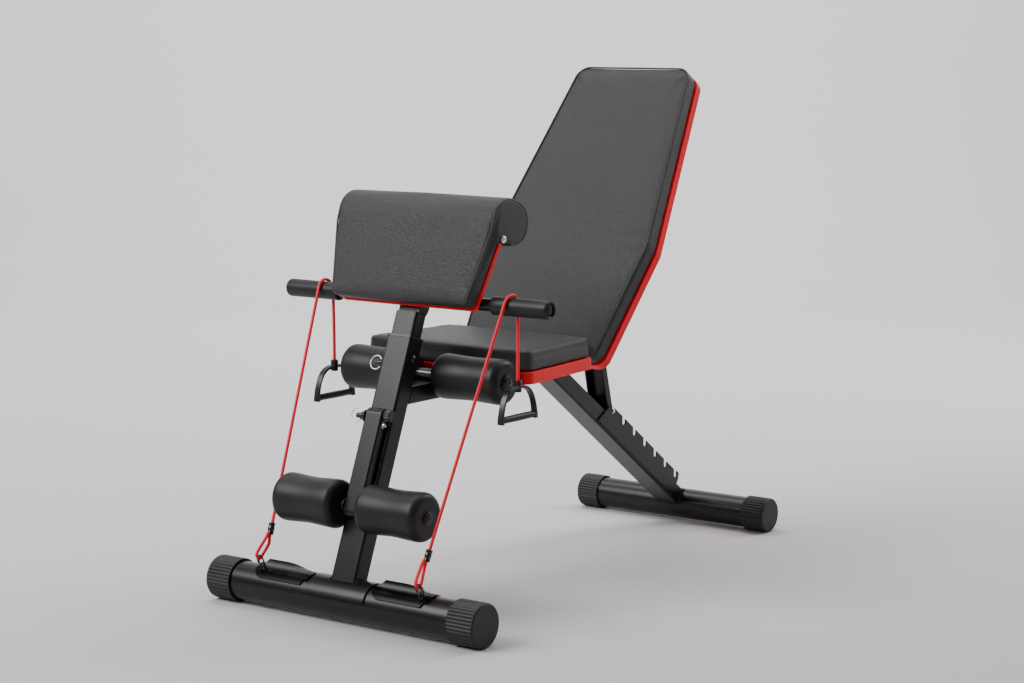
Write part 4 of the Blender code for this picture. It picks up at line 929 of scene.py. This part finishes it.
def cushion(name, bm, voxel, cap, held, at, body, replaced):
    # an even skin is blown up a little between its held rims, then laid in its place
    bmesh.ops.remove_doubles(bm, verts=bm.verts, dist=1e-6)
    bmesh.ops.recalc_face_normals(bm, faces=bm.faces)
    shell = BVHTree.FromBMesh(bm)
    mesh = bpy.data.meshes.new(name)
    bm.to_mesh(mesh)
    bm.free()
    pad = bpy.data.objects.new(name, mesh)
    scene.collection.objects.link(pad)
    even = pad.modifiers.new("even", "REMESH")
    even.mode = "VOXEL"
    even.voxel_size = voxel
    baked(pad)
    skin = bmesh.new()
    skin.from_mesh(pad.data)
    for i in range(cushionFacts["smoothing"]):
        bmesh.ops.smooth_vert(skin, verts=skin.verts, factor=0.5, use_axis_x=True, use_axis_y=True, use_axis_z=True)
    for v in skin.verts:  # back on to the cut shape, so slanting sides stay straight
        v.co = shell.find_nearest(v.co)[0]
    skin.to_mesh(pad.data)
    skin.free()
    start = [v.co.copy() for v in pad.data.vertices]
    group = pad.vertex_groups.new(name="held")
    for v in pad.data.vertices:
        weight = held(v.co)
        if weight > 0:
            group.add([v.index], weight, "REPLACE")
    puff = pad.modifiers.new("puff", "CLOTH")
    puff.settings.use_pressure = True
    puff.settings.uniform_pressure_force = cushionFacts["pressure"]
    puff.settings.effector_weights.gravity = 0.0
    puff.settings.vertex_group_mass = "held"
    puff.settings.bending_stiffness = cushionFacts["stiffness"]
    for frameNo in range(1, cushionFacts["frames"] + 1):
        scene.frame_set(frameNo)
    blown = pad.evaluated_get(bpy.context.evaluated_depsgraph_get()).data
    moved = [v.co.copy() for v in blown.vertices]
    pad.modifiers.clear()
    scene.frame_set(1)
    for v, a, b in zip(pad.data.vertices, start, moved):
        shift = b - a
        if shift.length > 1e-9:
            shift = shift.normalized() * cap * tanh(shift.length / cap)
        v.co = a + shift
    pad.vertex_groups.clear()
    pad.data.transform(at)
    pad.data.shade_smooth()
    pad.data.materials.clear()
    pad.data.materials.append(leather)
    fine = pad.modifiers.new("fine", "SUBSURF")
    fine.levels = fine.render_levels = 1
    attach(pad, body)
    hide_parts(replaced)
    print("bench: %s padded, %d points" % (name, len(pad.data.vertices)))


seatFacts = {"low": 0.398, "high": 0.4326, "seam": 0.4035, "roll": 0.0045}


def seatSoft(co):
    over = co.z - seatFacts["seam"]
    return 1.0 if over < 0 else max(0.0, 1.0 - over / 0.01) * 0.8


seatShape = plate(seatEdge(-0.0006, -0.0006, -0.0006), seatFacts["low"], seatFacts["high"], still, seatFacts["roll"],
                  0.002, 4)
cushion("seatCushion", seatShape, 0.004, 0.0018, seatSoft, flat, "frame", "seat_cushion")


backFacts = {"grow": 0.0022, "face": 0.003, "roll": 0.007, "beadR": 0.0018, "beadE": 0.0052, "beadGrow": -0.0004}


def backSoft(co):
    # local: y is the depth behind the front face
    return 1.0 if co.y > 0.0085 else 0.0


backShape = plate(backEdge(backFacts["grow"]), backFacts["face"], 0.0346, still, 0.001,
                  backFacts["roll"], 5, turnUp=True)
cushion("backCushion", backShape, 0.005, 0.0036, backSoft, backPlace, "backrest", "back_cushion")
bead = [backPlace @ Vector((x, backFacts["beadE"], t)) for x, t in backEdge(backFacts["beadGrow"])]
tubeAlong("backPiping", bead, backFacts["beadR"], pipingMat, "backrest", closed=True, sides=3)


def armSection():
    # (depth, along): flat face, big roll at the top, a small roll under the board's end
    line = arc(0.01, 0.009, 0.01, 180, 270, 8) + arc(0.024, 0.005, 0.006, 270, 360, 8)
    line += [(0.03, 0.06), (0.03, 0.1145), (0.04, 0.115)]
    line += arc(0.0587, 0.154, 0.038, -90, 90, 30) + arc(0.044, 0.148, 0.044, 90, 180, 16)
    line += [(0.0, 0.09), (0.0, 0.05)]
    return line


def armTaper(co):
    return Vector((co.x * padHalf(co.z) / padHalf(1.0), co.y, co.z))


armShape = extruded(armSection(), -0.1662, 0.1662, still, 0.006, 4, shape=armTaper)


def armSoft(co):
    if co.y > 0.0255 and co.z < 0.118:
        return 1.0
    edge = padHalf(co.z) - abs(co.x)
    return 1.0 if edge < 0.0045 else max(0.0, 1.0 - (edge - 0.0045) / 0.012) * 0.6


cushion("armCushion", armShape, 0.004, 0.003, armSoft, padPlace, "preacher_head", "preacher_cushion")


def armRim(side):
    # bead along the side edge of the face and round the roll
    line = [(0.004, 0.006)] + [(0.0024, 0.012 + 0.0104 * i) for i in range(13)]
    line += [(0.044 + 0.0418 * cos(radians(a)), 0.148 + 0.0418 * sin(radians(a)))
             for a in range(176, 88, -8)]
    line += [(0.0587 + 0.0358 * cos(radians(a)), 0.154 + 0.0358 * sin(radians(a)))
             for a in range(82, -90, -8)]
    return [padPlace @ Vector((side * (padHalf(t) - 0.0032), e, t)) for e, t in line]


for tag, side in bothSides:
    tubeAlong("armPiping" + tag, smoothRoute(armRim(side), 110), 0.0017, pipingMat, "preacher_head", sides=3)
print("bench: padding done")


# kept frame nodes
for name in ("carriage_rail", "pad_tube"):
    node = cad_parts[name]
    node.data.materials.clear()
    node.data.materials.append(powder)


# backdrop and light
stageFacts = {"back": 3.6, "near": -7.0, "bend": 2.5, "wall": 6.0, "wide": 12.0}
sweep = bmesh.new()
line = [(stageFacts["near"], 0.0), (stageFacts["back"], 0.0)]
line += [(stageFacts["back"] + stageFacts["bend"] * sin(radians(a)),
          stageFacts["bend"] * (1 - cos(radians(a)))) for a in range(5, 91, 5)]
line += [(stageFacts["back"] + stageFacts["bend"], stageFacts["wall"])]
row = [sweep.verts.new((-stageFacts["wide"], u, z)) for u, z in line]
edges = [sweep.edges.new(pair) for pair in zip(row, row[1:])]
grown = bmesh.ops.extrude_edge_only(sweep, edges=edges)["geom"]
bmesh.ops.translate(sweep, verts=vertsIn(grown), vec=(2 * stageFacts["wide"], 0, 0))
moveAll(sweep, Matrix.Rotation(radians(cameraFacts["turn"]), 4, "Z"))
bmesh.ops.recalc_face_normals(sweep, faces=sweep.faces)
if sum(f.normal.z for f in sweep.faces) < 0:
    bmesh.ops.reverse_faces(sweep, faces=sweep.faces)
sweepMesh = bpy.data.meshes.new("backdrop")
sweep.to_mesh(sweepMesh)
sweep.free()
sweepMesh.shade_smooth()
paper = finishMaterial("greyPaper", {"dark": (0.56, 0.56, 0.56), "light": (0.58, 0.58, 0.58), "rough": 0.85,
                                     "toneScale": 0.8, "speckle": 200.0, "bump": 0.02, "specular": 0.15})
sweepMesh.materials.append(paper)
backdrop = bpy.data.objects.new("backdrop", sweepMesh)
scene.collection.objects.link(backdrop)


def softLight(name, spot, aim, size, watts):
    data = bpy.data.lights.new(name, "AREA")
    data.shape = "RECTANGLE"
    data.size, data.size_y = size
    data.energy = watts
    lamp = bpy.data.objects.new(name, data)
    lamp.location = spot
    lamp.rotation_euler = (Vector(aim) - Vector(spot)).to_track_quat("-Z", "Y").to_euler()
    scene.collection.objects.link(lamp)


def fromCamera(right, ahead, height):
    # a spot given from the bench as seen by the camera: to its right, beyond it, above the floor
    turn = radians(cameraFacts["turn"])
    return (right * cos(turn) - ahead * sin(turn), right * sin(turn) + ahead * cos(turn), height)


softLight("keyPanel", fromCamera(-2.9, -1.3, 2.7), (0, 0, 0.5), (2.4, 2.0), 152)
softLight("topPanel", fromCamera(0.0, 0.8, 3.6), (0, 0, 0.2), (4.5, 2.2), 95)
softLight("sidePanel", fromCamera(3.0, 1.6, 2.4), (0, 0, 0.5), (1.0, 1.6), 62)
softLight("wallPanel", fromCamera(0.0, 2.4, 4.6), fromCamera(0.0, 6.1, 2.2), (8.0, 1.5), 560)
world = bpy.data.worlds.new("studio")
world.use_nodes = True
sky = world.node_tree.nodes["Background"]
sky.inputs["Color"].default_value = (0.62, 0.62, 0.63, 1.0)
sky.inputs["Strength"].default_value = 0.24
scene.world = world
print("bench: lit")
